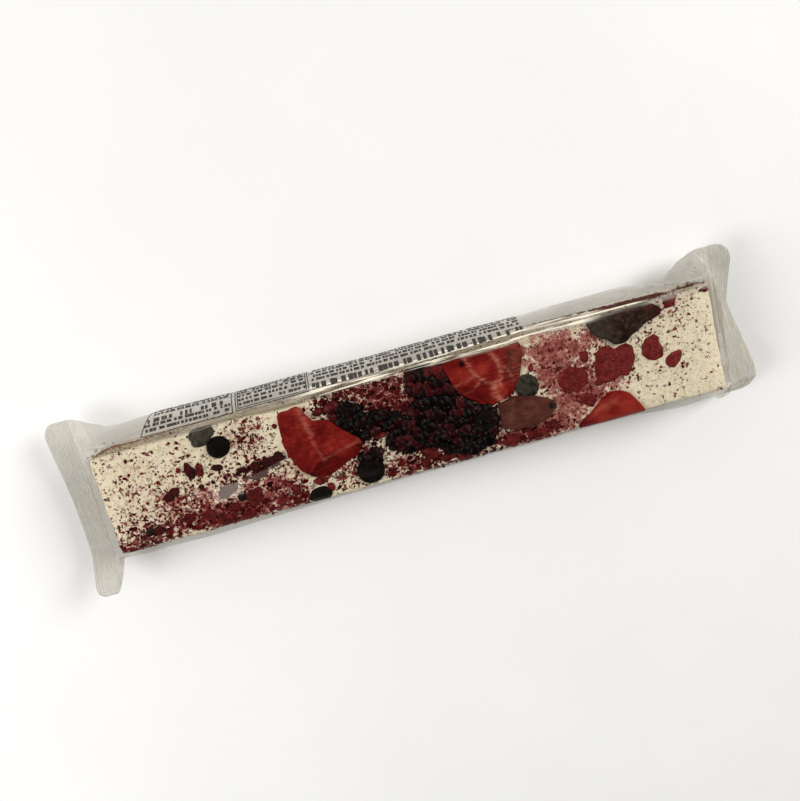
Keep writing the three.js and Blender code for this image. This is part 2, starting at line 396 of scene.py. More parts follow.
# The strawberry pieces. Freeze-dried strawberries cut into wedges and slices and pressed into the nougat:
# dry, matt red flesh with fine fibres, flat cut faces that meet in ridges, and pale veins towards the core.
PACK_HEIGHT = 19.5
FILM_EDGE_RADIUS = 2.2
FILM_CLEARANCE = 0.25
LIFT_FADE = 5
FRUIT_LUMPS = [
    (-62, 11, 6, 6, 0.45), (-30, 4, 12, 11, 1.0), (-16, -10, 6, 6, 0.9), (-12, 4, 10, 8, 0.6),
    (15, -6, 11, 8, 0.9), (26, 9, 12, 9, 0.7), (37, -5, 9, 6, 0.5), (63, -12, 10, 6, 0.8),
    (66, 2, 8, 6, 0.6), (72, 13, 12, 6, 0.9), (80, 2, 6, 6, 0.6),
]
# Each piece: its outline on the bar, where its cut faces meet and how high, the slopes and tones of those
# faces, with the face that slopes away from the light painted darker as shade, its pale lines with their
# width and paleness (veins, painted highlight along the wedge's ridges, and a painted film reflection in
# the broad bands on the slice and the slab), where the flesh is brighter (+) and darker (-) with reach and
# amount, partly its own tone and partly painted highlight on the wedge's ridges and painted shade in the
# slice's small hole, which way its fibres run and how strong they are, and how uneven its edge is.
STRAWBERRIES = {
    "strawberry_wedge": {
        "outline": [
            (-40, 14.6), (-32.6, 15.4), (-31.8, 12.6), (-29.6, 9.6), (-27, 9.2), (-24.8, 8.4),
            (-20.6, 3.8), (-16, -1), (-18, -4), (-26.4, -8.2), (-30, -9.2), (-34, -8.2), (-37.6, -5),
            (-39.9, 0), (-41.2, 5.5),
        ],
        "peak": (-29.5, -2), "height": 2.1,
        "faces": [(-0.06, -0.045), (0.16, -0.009), (-0.09, 0.3)], "tones": [0.5, 0.55, 0.3],
        # The wedge's pale lines run along its ridges: painted highlight.
        "veins_and_sheen": [
            ([(-33.2, 15), (-32.3, 11), (-31.4, 6)], 1.0, 0.4),
            ([(-31.6, 5), (-30.8, 1), (-29.8, -3)], 0.5, 0.25),
            ([(-29.4, -3), (-24, -1.7), (-17.6, -0.3)], 0.5, 0.35),
        ],
        "shades": [
            (-32, 11, 3, 0.3), (-24, 0, 3.5, 0.3), (-36, -5, 4, -0.25), (-38, 10, 3, -0.1),
            (-27, 6, 3, -0.1),
        ],
        "turn": 0.5, "fibrous": 1.0, "uneven": 0.015,
    },
    "strawberry_slice": {
        "outline": [
            (12.9, 17.6), (17, 18.1), (28, 16.6), (32, 16.1), (38.6, 16.4), (39, 13.5), (37.9, 9.5),
            (36.2, 5.2), (34.2, 2.2), (31.6, 0.3), (28, -0.6), (26, -1.2), (23, -0.4), (18, 4), (15.3, 8),
        ],
        "peak": (27.5, 4.7), "height": 1.9,
        "faces": [(0.0, -0.02), (0.08, 0.22), (-0.16, 0.09)], "tones": [0.5, 0.5, 0.35],
        "veins_and_sheen": [
            ([(20.4, 17.2), (21.4, 14), (22.2, 11), (24.5, 8.2), (27.6, 5.6)], 0.6, 0.7),
            ([(28.4, 16.4), (30.4, 13), (30.9, 9), (29.4, 5)], 0.8, 0.75),
            ([(15.6, 8), (19, 9), (22.4, 10)], 0.4, 0.35),
            ([(27.6, 5.6), (27.8, 2.4), (28.4, 0.4)], 1.1, 0.8),
            ([(30.8, 12), (33.5, 8), (34.2, 5)], 0.6, 0.5),
            # The broad band near x 36 is a painted reflection of the film, not a vein.
            ([(24.5, 8.2), (21, 5.6), (18.4, 5)], 0.35, 0.3), ([(36, 15), (35.5, 7)], 3, 0.24),
        ],
        "shades": [
            # The small dark spot at (19.6, 14.5) is painted shade in a hole.
            (17, 17, 4, -0.35), (26, 15.5, 4, -0.1), (19.6, 14.5, 0.9, -0.9), (22, 5.5, 4, -0.25),
            (28.8, 4, 2.6, 0.7), (19, 11, 3.5, 0.3), (25.5, 11, 3, 0.35), (35, 12, 4, -0.2),
            (27.4, 9.6, 1.2, -0.2),
        ],
        "turn": -0.7, "fibrous": 1.0, "uneven": 0.015,
    },
    "strawberry_slab": {
        "outline": [
            (27.5, -1), (33, 0.1), (37, -0.5), (41, -2.4), (45, -4.4), (45.6, -7), (42, -10.2),
            (36, -11.2), (30, -10.6), (26.8, -9), (27.4, -5),
        ],
        "peak": (37, -4), "height": 1.3,
        "faces": [(-0.03, 0.05), (-0.02, -0.02), (0.03, 0.02)], "tones": [-0.5, -0.5, -0.5],
        # The broad band along y -6 is a painted reflection of the film; the narrow line is a pale streak.
        "veins_and_sheen": [([(33, 0), (31, -5), (29, -9.5)], 0.6, 0.3), ([(28, -6), (44, -6)], 8, 0.23)],
        "shades": [
            (30, -6, 3, 0.25), (35, -3, 2.5, -0.25), (40, -7, 2.5, 0.2), (43, -4.5, 2, -0.3),
            (34, -9, 2.5, -0.15),
        ],
        "turn": 0.3, "fibrous": 0.35, "uneven": 0.06,
    },
    "strawberry_end": {
        "outline": [
            (49.5, -15.6), (55, -12.2), (60, -8.4), (63, -6.8), (66, -7.2), (69, -8.8), (71, -12),
            (73.2, -16), (62, -16.3),
        ],
        "peak": (64, -12), "height": 2.0,
        "faces": [(0.05, -0.12), (-0.12, -0.08), (0.02, 0.1)], "tones": [0.5, 0.55, 0.45],
        "veins_and_sheen": [([(55, -13), (60, -10.4), (64, -9.6)], 0.8, 0.2)],
        "shades": [(58, -11.5, 5, 0.4), (67, -14, 5, 0.35), (52, -15, 3, -0.3), (63, -13.4, 2.5, -0.1)],
        "turn": 1.1, "fibrous": 0.8, "uneven": 0.015,
    },
}
STRAWBERRY_DARK = (36, 5, 5)
STRAWBERRY_DEEP = (78, 10, 10)
STRAWBERRY_RED = (122, 24, 20)
STRAWBERRY_BRIGHT = (160, 52, 40)
STRAWBERRY_PALE = (206, 128, 108)
RIDGE_SHARPNESS = 9
FIBRE_DEPTH = 0.09
# Pressed pieces: the size of the waves in an edge, how rows crowd to the rim, how deep the rim's foot is,
# how much of the outline the underside keeps, and how near to the bar's sides a piece comes.
EDGE_WAVE = 2.2
ROW_CROWDING = 1.5
RIM_FOOT_DEPTH = 0.5
UNDERSIDE_SHARE = 0.97
SIDE_MARGIN = 0.1


def film_over(x, y):
    """Height of the film's inside over a place on top of the bar."""
    cubes = np.zeros_like(x)
    for place_x, place_y, length, width, height in FRUIT_LUMPS:
        distance = np.hypot((x - place_x) / length, (y - place_y) / width)
        cubes = cubes + (height * hump(distance, 1)) ** 3
    flat_edge = bar_edge(x, y) - FILM_EDGE_RADIUS
    lift = np.cbrt(cubes) * (1 - ease(np.abs(y), flat_edge - LIFT_FADE, flat_edge))
    past = np.clip(np.abs(y) - flat_edge, 0, FILM_EDGE_RADIUS)
    drop = FILM_EDGE_RADIUS - np.sqrt(FILM_EDGE_RADIUS ** 2 - past ** 2)
    return PACK_HEIGHT + lift - drop


def star_radius(outline, centre, angles):
    """How far a closed outline lies from its centre each way, with its corners slightly rounded."""
    start = np.array(outline) - centre
    along = np.roll(start, -1, axis=0) - start
    way_x, way_y = np.cos(angles)[:, None], np.sin(angles)[:, None]
    crossing = way_x * along[:, 1] - way_y * along[:, 0]
    crossing = np.where(np.abs(crossing) < 1e-9, 1e-9, crossing)
    distance = (start[:, 0] * along[:, 1] - start[:, 1] * along[:, 0]) / crossing
    share = (start[:, 0] * way_y - start[:, 1] * way_x) / crossing
    hit = (share >= -1e-6) & (share <= 1 + 1e-6) & (distance > 0)
    radius = np.where(hit, distance, np.inf).min(axis=1)
    for _ in range(3):
        radius = (np.roll(radius, 1) + 2 * radius + np.roll(radius, -1)) / 4
    return radius


def pressed_piece(outline, centre, height, rim, crisp, steps=120, rows=26, sunk=1.6, uneven=0.0):
    """A closed piece sunk in the nougat, from its outline, its height at each place and a rounded rim."""
    centre = np.array(centre, dtype=float)
    angles = np.linspace(0, 2 * math.pi, steps, endpoint=False)
    radius = star_radius(outline, centre, angles)
    edge = np.stack([np.cos(angles), np.sin(angles), np.zeros(steps)], axis=1) * radius[:, None]
    radius = radius * (1 + uneven * wave(edge + [*centre, 0], EDGE_WAVE))
    share = 1 - (1 - np.linspace(0, 1, rows + 1)[1:, None]) ** ROW_CROWDING
    x = centre[0] + share * radius * np.cos(angles)
    y = centre[1] + share * radius * np.sin(angles)
    y = np.clip(y, -BAR_WIDTH / 2 + SIDE_MARGIN, bar_edge(x, 1) + 2 * SIDE_MARGIN)
    into_rim = np.clip(1 - (1 - share) * radius / rim, 0, 1)
    profile = (1 - into_rim ** crisp) ** (1 / crisp)
    foot = NOUGAT_TOP - RIM_FOOT_DEPTH
    z = foot + (NOUGAT_TOP + height(x, y) - foot) * profile
    z = np.minimum(z, film_over(x, y) - FILM_CLEARANCE)
    top_z = NOUGAT_TOP + height(centre[:1], centre[1:])[0]
    top_z = min(top_z, film_over(centre[:1], centre[1:])[0] - FILM_CLEARANCE)
    under_x = centre[0] + UNDERSIDE_SHARE * (x[-1] - centre[0])
    under_y = centre[1] + UNDERSIDE_SHARE * (y[-1] - centre[1])
    under = np.stack([under_x, under_y, np.full(steps, NOUGAT_TOP - sunk)], axis=1)
    points = np.concatenate([
        [[*centre, top_z]], np.stack([x, y, z], axis=-1).reshape(-1, 3), under,
        [[*centre, NOUGAT_TOP - sunk]],
    ])
    first = 1 + np.arange(steps)
    second = 1 + (np.arange(steps) + 1) % steps
    faces = [[0, a, b] for a, b in zip(first, second)]
    for row in range(rows):
        low, high = row * steps, (row + 1) * steps
        faces += [[a + low, a + high, b + high, b + low] for a, b in zip(first, second)]
    last = len(points) - 1
    faces += [[last, b + rows * steps, a + rows * steps] for a, b in zip(first, second)]
    return points, faces


def line_distance(x, y, line):
    nearest = np.full(x.shape, np.inf)
    for (x0, y0), (x1, y1) in zip(line, line[1:]):
        length = (x1 - x0) ** 2 + (y1 - y0) ** 2
        share = np.clip(((x - x0) * (x1 - x0) + (y - y0) * (y1 - y0)) / length, 0, 1)
        nearest = np.minimum(nearest, np.hypot(x - x0 - share * (x1 - x0), y - y0 - share * (y1 - y0)))
    return nearest


def cut_faces(cut, x, y):
    peak_x, peak_y = cut["peak"]
    return [cut["height"] + sx * (x - peak_x) + sy * (y - peak_y) for sx, sy in cut["faces"]]


def wave_over(x, y, size, shift=0.0):
    places = np.stack([x.ravel(), y.ravel(), np.zeros(x.size)], axis=1)
    return wave(places, size, shift).reshape(x.shape)


def strawberry_height(cut):
    turn = cut["turn"]
    depth = FIBRE_DEPTH * cut["fibrous"]

    def height(x, y):
        meeting = sum(np.exp(-RIDGE_SHARPNESS * face) for face in cut_faces(cut, x, y))
        along = 0.35 * (x * math.cos(turn) + y * math.sin(turn))
        across = 1.6 * (y * math.cos(turn) - x * math.sin(turn))
        fibres = wave_over(along, across, 1.0) + 0.7 * wave_over(along, across, 0.35, 3)
        return -np.log(meeting) / RIDGE_SHARPNESS + depth * fibres

    return height


def strawberry_finish(turn, fibrous):
    material, tree, shader = new_finish("dried strawberry flesh")
    fibres = mottle(tree, 1.2, detail=6, roughness=0.7, stretch=(0.4, 1.5, 1), turn=(0, 0, -turn))
    fibres = plus(tree, 0.5 * (1 - fibrous), fibres, fibrous)
    grain = mottle(tree, 0.5, detail=5, roughness=0.75)
    # The tone carries painted shade on faces turned from the light and painted highlight on the ridges.
    tone = plus(tree, value_on(tree, "flesh_tone_and_shade"), mottle(tree, 3.5, detail=5, roughness=0.65), 1.3)
    tone = plus(tree, plus(tree, tone, fibres, 0.9), grain, 0.7)
    tone = sums(tree, "SUBTRACT", tone, 1.45)
    flesh = ramp(tree, tone, [
        (0.0, STRAWBERRY_DARK), (0.12, STRAWBERRY_DEEP), (0.5, STRAWBERRY_RED), (0.95, STRAWBERRY_BRIGHT)])
    fleck = times(tree, level(tree, mottle(tree, 0.9, detail=6, roughness=0.8), 0.6, 0.72), 0.22)
    flesh = blend(tree, fleck, flesh, paint(*STRAWBERRY_PALE))
    # Pale lines: real veins, painted highlight on the wedge's ridges and painted film reflection in the
    # broad bands.
    vein_and_sheen = times(tree, value_on(tree, "vein_and_sheen"), level(tree, fibres, 0.3, 0.62))
    flesh = blend(tree, vein_and_sheen, flesh, paint(*STRAWBERRY_PALE))
    bumps = plus(tree, fibres, grain, 0.5)
    dress(tree, shader, flesh, roughness=0.6, gloss=0.03, bumps=bumps, depth=0.45)
    return material


for berry_name, cut in STRAWBERRIES.items():
    middle = np.mean(cut["outline"], axis=0)
    points, faces = pressed_piece(
        cut["outline"], middle, strawberry_height(cut), rim=0.9, crisp=3.5, steps=180, rows=36,
        uneven=cut["uneven"])
    x, y = points[:, 0], points[:, 1]
    pale = np.zeros(len(points))
    for line, width, paleness in cut["veins_and_sheen"]:
        distance = line_distance(x, y, line) + 0.5 * wave(points, 1.8) + 0.3 * wave(points, 0.7)
        pale = np.maximum(pale, paleness * hump(distance, width) * (1 + 0.5 * wave(points, 2.5, 4)))
    # Face tones and shades: the flesh's own tone, with painted shade and painted ridge highlights.
    tone = np.array(cut["tones"])[np.argmin(cut_faces(cut, x, y), axis=0)]
    for place_x, place_y, reach, amount in cut["shades"]:
        tone = tone + amount * hump(np.hypot(x - place_x, y - place_y) + 0.6 * wave(points, 1.5, 2), reach)
    berry = new_piece(berry_name, points, faces, strawberry_finish(cut["turn"], cut["fibrous"]),
                      {"vein_and_sheen": pale, "flesh_tone_and_shade": tone})
    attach(berry, "root")

# The bramble fruit. Dried dark berries, whole and broken, pressed flat into the nougat: each is a mass of
# small round drupelets, near black with wine-red ones among them, and with a wrinkled skin.
# Each body: its outline, the middle it is built round, and its height over the nougat.
BRAMBLES = [
    ([
        (-25.8, 13), (-20, 13.6), (-15.5, 11.2), (-13.5, 7.4), (-8, 6.9), (-2.8, 5.6), (-2, 1.6), (-6, 0),
        (-10, 0.8), (-14, -0.6), (-17.5, 0.5), (-20.5, 4), (-24, 8.3),
    ], (-14.5, 4.5), 1.3),
    ([
        (-10, -3.5), (-8, -0.5), (-3, 0.5), (0, 4.6), (3, 7), (7, 7.4), (12, 5.6), (16, 5.6), (19, 1.5),
        (24, 0), (27, -1.5), (27.3, -6), (25, -9.6), (24.2, -12.6), (20, -14.5), (14, -14), (9, -12),
        (6, -9.6), (2, -7.6), (-2, -9), (-6, -8.5),
    ], (9, -3.5), 1.25),
    ([
        (0.8, 14.5), (3, 17.2), (7, 17), (9.5, 15.8), (13, 17.2), (14.4, 12), (15.3, 6), (12.5, 5),
        (10, 5.8), (6, 5.8), (2.5, 8), (1, 12),
    ], (8, 12), 1.1),
    ([
        (-19.5, -6.5), (-16, -4.2), (-12.4, -4.2), (-10.8, -6.4), (-11.8, -8.8), (-15, -9),
    ], (-14.5, -6.6), 1.2),
]
# Where the drupelets are wine red and not black: place, reach and amount.
BRAMBLE_RIPE = [
    (-11, -1, 2.4, 0.35), (3, 2, 4, 0.32), (-15, 4.5, 2, 0.2), (-5, -4.5, 4, 0.35), (3, -5.5, 3, 0.3),
    (3, 13, 4, 0.35), (11, 13, 5, 0.5), (12, -2, 2.5, 0.45), (7, 12, 4, 0.4), (15, 2, 2.5, 0.3),
    (2, -8, 3, 0.3), (-24, 11, 3, 0.4), (8, 9, 3, 0.3),
]
DRUPELET_SIZE = 3.6
DRUPELET_SPACING = 1.8
DRUPELET_RISE = 0.7
DRUPELET_SEED = 11
BRAMBLE_TONES = [(0.22, (5, 1, 1)), (0.5, (20, 4, 5)), (0.75, (50, 8, 9)), (1.0, (98, 28, 28))]
BRAMBLE_DUST = (60, 14, 16)


def geometry_tree(name, sizes):
    tree = bpy.data.node_groups.new(name, "GeometryNodeTree")
    tree.interface.new_socket("Geometry", in_out="INPUT", socket_type="NodeSocketGeometry")
    for label in sizes:
        kind = "NodeSocketInt" if label in ("Seed", "Rows") else "NodeSocketFloat"
        tree.interface.new_socket(label, in_out="INPUT", socket_type=kind)
    tree.interface.new_socket("Geometry", in_out="OUTPUT", socket_type="NodeSocketGeometry")
    start = add_node(tree, "NodeGroupInput").outputs
    end = add_node(tree, "NodeGroupOutput").inputs
    return tree, start, end


def grown(name, carrier, tree, sizes):
    """The plain mesh that a tree of nodes grows on a piece, as a new piece."""
    modifier = carrier.modifiers.new(name, "NODES")
    modifier.node_group = tree
    for socket in tree.interface.items_tree:
        if socket.in_out == "INPUT" and socket.name in sizes:
            modifier[socket.identifier] = sizes[socket.name]
    depsgraph = bpy.context.evaluated_depsgraph_get()
    mesh = bpy.data.meshes.new_from_object(carrier.evaluated_get(depsgraph), depsgraph=depsgraph)
    carrier.modifiers.remove(modifier)
    mesh.name = name
    piece = bpy.data.objects.new(name, mesh)
    bpy.context.scene.collection.objects.link(piece)
    return piece


def random_between(tree, low, high, seed):
    node = add_node(tree, "FunctionNodeRandomValue", {2: low, 3: high, "Seed": seed}, data_type="FLOAT")
    return node.outputs[1]


def facing_above(tree, least):
    """Picks the faces that lean upward by more than a limit."""
    facing = add_node(tree, "GeometryNodeInputNormal").outputs["Normal"]
    upward = add_node(tree, "ShaderNodeSeparateXYZ", {"Vector": facing}).outputs["Z"]
    inputs = {"A": upward, "B": least}
    return add_node(tree, "FunctionNodeCompare", inputs, operation="GREATER_THAN").outputs[0]


def of_three(tree, x, y, z):
    return add_node(tree, "ShaderNodeCombineXYZ", {"X": x, "Y": y, "Z": z}).outputs["Vector"]


def toned(tree, instances, label, seed):
    """Gives each instance a random tone of its own, and makes them all one mesh."""
    tones = add_node(tree, "GeometryNodeStoreNamedAttribute", {
        "Geometry": instances, "Name": label, "Value": random_between(tree, 0.0, 1.0, seed),
    }, domain="INSTANCE", data_type="FLOAT")
    whole = add_node(tree, "GeometryNodeRealizeInstances", {"Geometry": tones.outputs["Geometry"]})
    return whole.outputs["Geometry"]


def roughened(tree, geometry, fineness, detail, depth):
    """Moves the points of a mesh about by a noise of one fineness and depth."""
    place = add_node(tree, "GeometryNodeInputPosition").outputs["Position"]
    pattern = add_node(tree, "ShaderNodeTexNoise", {"Vector": place, "Scale": fineness, "Detail": detail})
    centred = vectors(tree, "SUBTRACT", {0: pattern.outputs["Color"], 1: (0.5, 0.5, 0.5)})
    shift = vectors(tree, "SCALE", {0: centred, "Scale": depth * MM})
    moved = add_node(tree, "GeometryNodeSetPosition", {"Geometry": geometry, "Offset": shift})
    return moved.outputs["Geometry"]


def end_tree(tree, end, geometry, material):
    finish = add_node(tree, "GeometryNodeSetMaterial", {"Geometry": geometry, "Material": material})
    tree.links.new(finish.outputs["Geometry"], end["Geometry"])
    return tree


def drupelet_tree(material):
    tree, start, end = geometry_tree("drupelets over a berry", ["Size", "Spacing", "Seed"])
    spread = add_node(tree, "GeometryNodeDistributePointsOnFaces", {
        "Mesh": start["Geometry"], "Selection": facing_above(tree, 0.1), "Distance Min": start["Spacing"],
        "Density Max": 3.0e6, "Seed": start["Seed"],
    }, distribute_method="POISSON")
    ball = add_node(tree, "GeometryNodeMeshIcoSphere", {"Radius": 0.5, "Subdivisions": 2})
    swell = times(tree, start["Size"], random_between(tree, 0.5, 1.25, 3))
    flatness = times(tree, swell, random_between(tree, 0.4, 0.7, 4))
    laid = add_node(tree, "GeometryNodeInstanceOnPoints", {
        "Points": spread.outputs["Points"], "Instance": ball.outputs["Mesh"],
        "Rotation": spread.outputs["Rotation"], "Scale": of_three(tree, swell, swell, flatness),
    })
    whole = toned(tree, laid.outputs["Instances"], "drupelet_tone", 7)
    wrinkled = roughened(tree, whole, fineness=380.0, detail=3.0, depth=1.9)
    together = add_node(tree, "GeometryNodeJoinGeometry")
    tree.links.new(start["Geometry"], together.inputs["Geometry"])
    tree.links.new(wrinkled, together.inputs["Geometry"])
    smooth = add_node(tree, "GeometryNodeSetShadeSmooth", {"Geometry": together.outputs["Geometry"]})
    return end_tree(tree, end, smooth.outputs["Geometry"], material)


def bramble_finish():
    material, tree, shader = new_finish("dried dark drupelets")
    tone = plus(tree, plus(tree, -0.24, value_on(tree, "ripe"), 1.1), value_on(tree, "drupelet_tone"), 0.7)
    skin = ramp(tree, plus(tree, tone, mottle(tree, 1.5, detail=4), 0.4), BRAMBLE_TONES)
    overlay_share = level(tree, mottle(tree, 0.7, detail=5, roughness=0.7), 0.62, 0.74)
    skin = blend(tree, overlay_share, skin, paint(*BRAMBLE_DUST))
    bumps = mottle(tree, 0.6, detail=4)
    dress(tree, shader, skin, roughness=0.14, gloss=0.1, bumps=bumps, depth=0.25)
    return material


def pressed_under_film(piece):
    """Flattens what stands too high, as the film does when it is drawn over the bar."""
    count = len(piece.data.vertices)
    spots = np.empty(count * 3)
    piece.data.vertices.foreach_get("co", spots)
    spots = spots.reshape(-1, 3) / MM
    on_top = np.abs(spots[:, 0]) < BAR_LENGTH / 2
    ceiling = film_over(spots[:, 0], np.clip(spots[:, 1], -BAR_WIDTH / 2, bar_edge(spots[:, 0], 1)))
    spots[:, 2] = np.where(on_top, np.minimum(spots[:, 2], ceiling - FILM_CLEARANCE), spots[:, 2])
    piece.data.vertices.foreach_set("co", (spots * MM).ravel())
    piece.data.update()


def joined(solids):
    points, faces, start = [], [], 0
    for part_points, part_faces in solids:
        points.append(part_points)
        faces += [[corner + start for corner in face] for face in part_faces]
        start += len(part_points)
    return np.concatenate(points), faces


def lumpy(height, size, amount):
    def at(x, y):
        return height + amount * wave_over(x, y, size)
    return at


bramble_skin = bramble_finish()
bramble_bodies = [
    pressed_piece(
        outline, middle, lumpy(height - DRUPELET_RISE, 4, 0.35), rim=1.6, crisp=2, steps=72, rows=10,
        uneven=0.05)
    for outline, middle, height in BRAMBLES
]
bramble_points, bramble_faces = joined(bramble_bodies)
bramble_ripe = np.zeros(len(bramble_points))
for x, y, reach, amount in BRAMBLE_RIPE:
    away = np.hypot(bramble_points[:, 0] - x, bramble_points[:, 1] - y)
    bramble_ripe = np.maximum(bramble_ripe, amount * hump(away, reach))
bramble_strewn = np.clip(0.25 + 1.2 * wave(bramble_points, 5, 6) + bramble_ripe, 0, 1)
bramble_body = new_piece("bramble_body", bramble_points, bramble_faces, bramble_skin, {
    "ripe": bramble_ripe, "strewn": bramble_strewn, "dark_dust": np.full(len(bramble_points), 0.45)})
bramble_sizes = {"Size": DRUPELET_SIZE * MM, "Spacing": DRUPELET_SPACING * MM, "Seed": DRUPELET_SEED}
brambles = grown("bramble_fruit", bramble_body, drupelet_tree(bramble_skin), bramble_sizes)
bpy.data.objects.remove(bramble_body)
pressed_under_film(brambles)
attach(brambles, "root")

# The round dark berries. Dried bilberries and currants, pressed in whole: near-black wrinkled skin, with a
# grey bloom on some. On the two berries at the upper left the grey is a painted reflection of the film.
# Each berry: place, length, width, turn in degrees, height over the nougat, and how much grey it has, which
# is bloom, and on the two upper-left berries painted film reflection.
ROUND_BERRIES = [
    (-60.2, 9.4, 8.0, 7.4, 20, 2.0, 0.05), (-64, 14.7, 8.8, 5.2, 5, 1.4, 1.3),
    (-64.6, 12.9, 7.0, 4.4, 10, 1.2, 1.1), (-16.4, -10.9, 9.2, 8.9, 30, 2.1, 0.03),
    (-33.7, -14.2, 7.8, 5.2, 0, 1.4, 0.1), (37.8, 1.9, 8.0, 8.2, 40, 1.4, 0.85),
    (22.8, -5, 8.2, 9.2, 10, 2.0, 0.08), (44, -6, 3.6, 3.8, 0, 1.5, 0.3),
    (-57.8, -8, 3.4, 3.6, 10, 1.4, 0.2), (-89, -11, 3.4, 2.6, 35, 1.0, 0.3),
    (14, 3.5, 3.6, 4.2, 10, 1.2, 0.1), (17, 0.5, 3.8, 3.0, -20, 1.3, 0.1),
    (-4.6, 3.4, 5, 4.6, 0, 1.6, 0.06), (-10, 5, 4.4, 3.6, 15, 1.6, 0.08),
    (-15, 1.2, 4.6, 3.8, 20, 1.6, 0.08), (-19.4, 10.2, 5.4, 4.8, 0, 1.6, 0.06),
    (-19, 5.6, 4.6, 4.4, 0, 1.7, 0.08),
]
BERRY_BLACK = (8, 5, 3)
BERRY_BROWN = (20, 12, 8)
BLOOM_AND_SHEEN_GREY = (75, 70, 60)
BERRY_SLUMP = 0.55
BERRY_WRINKLE = 0.35


def turned(x, y, degrees):
    """Points turned about the origin."""
    turn = math.radians(degrees)
    along, across = math.cos(turn), math.sin(turn)
    return np.stack([x * along - y * across, x * across + y * along], axis=1)


def oval(length, width, turn, corners=28):
    angles = np.linspace(0, 2 * math.pi, corners, endpoint=False)
    return turned(length / 2 * np.cos(angles), width / 2 * np.sin(angles), turn)


def dome(place, length, width, height):
    def at(x, y):
        away = np.hypot((x - place[0]) / (length / 2), (y - place[1]) / (width / 2))
        return height * (1 - BERRY_SLUMP * away ** 2) - BERRY_WRINKLE * np.abs(wave_over(x, y, 1.5))
    return at


def round_berry_finish():
    material, tree, shader = new_finish("dried dark berry skin")
    skin = ramp(tree, mottle(tree, 2.2, detail=5), [(0.35, BERRY_BLACK), (0.75, BERRY_BROWN)])
    # The grey is bloom, and a painted film reflection on the two upper-left berries.
    powder = times(tree, value_on(tree, "bloom"), level(tree, mottle(tree, 1.6, detail=4), 0.2, 0.7))
    skin = blend(tree, powder, skin, paint(*BLOOM_AND_SHEEN_GREY))
    bumps = mottle(tree, 0.8, detail=5, roughness=0.65)
    dress(tree, shader, skin, roughness=0.3, gloss=0.02, bumps=bumps, depth=0.3)
    return material


berry_solids = []
berry_bloom = []
for x, y, length, width, turn, height, bloom in ROUND_BERRIES:
    solid = pressed_piece(
        oval(length, width, turn) + [x, y], (x, y), dome((x, y), length, width, height), rim=1.5, crisp=2,
        steps=64, rows=18, uneven=0.04)
    berry_solids.append(solid)
    berry_bloom.append(np.full(len(solid[0]), bloom))
berries = new_piece(
    "round_berries", *joined(berry_solids), round_berry_finish(), {"bloom": np.concatenate(berry_bloom)})
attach(berries, "root")

# The raspberry pieces. Freeze-dried raspberries, crimson and brittle, halved or broken small and pressed
# into the nougat until the film flattened them: dull, powdery faces with low bumps.
# Each half: its outline, the middle it is built round, its height over the nougat, and how dark it is.
RASPBERRY_HALVES = [
    ([
        (60.8, 6.5), (63, 8), (65.5, 8), (67.3, 5.8), (68.5, 6.8), (71, 7.2), (72.8, 5.5), (73.3, 2.5),
        (72.4, 0), (70, -3.6), (67.5, -2.8), (64.5, -3.9), (61.8, -3.8), (59.5, -1), (59.6, 2),
    ], (66.5, 1.8), 0.8, 0.42),
    ([
        (75.4, 4.2), (77.2, 6.7), (80, 7.6), (81.6, 6.4), (81.5, 4.3), (82.4, 2), (81.8, -0.6),
        (79.5, -1.2), (77, -0.3), (75, 2),
    ], (78.6, 3.2), 0.85, 0.38),
    ([
        (82.2, -1), (84, 0.3), (87.8, 0.5), (88, -1.2), (86.8, -3.2), (84.6, -5.3), (82.8, -4.2),
        (81.6, -2.6),
    ], (84.8, -2.2), 0.8, 0.36),
    ([
        (84.8, 17.6), (90.2, 17.6), (89.3, 16.4), (88.5, 14.2), (86.6, 14), (84.6, 14.1), (85.2, 16),
    ], (87.1, 15.8), 0.6, 0.32),
    ([(96.6, 17.2), (99.6, 17.7), (99.7, 16), (98.2, 15.6)], (98.4, 16.6), 0.5, 0.5),
    ([
        (47.2, 1.5), (49.6, 4.2), (53, 4.8), (56.6, 3.2), (57.8, 0.4), (56.8, -3.2), (53, -4.4),
        (49.2, -3.4), (47.6, -1.2),
    ], (52.4, 0.3), 0.3, 0.44),
]
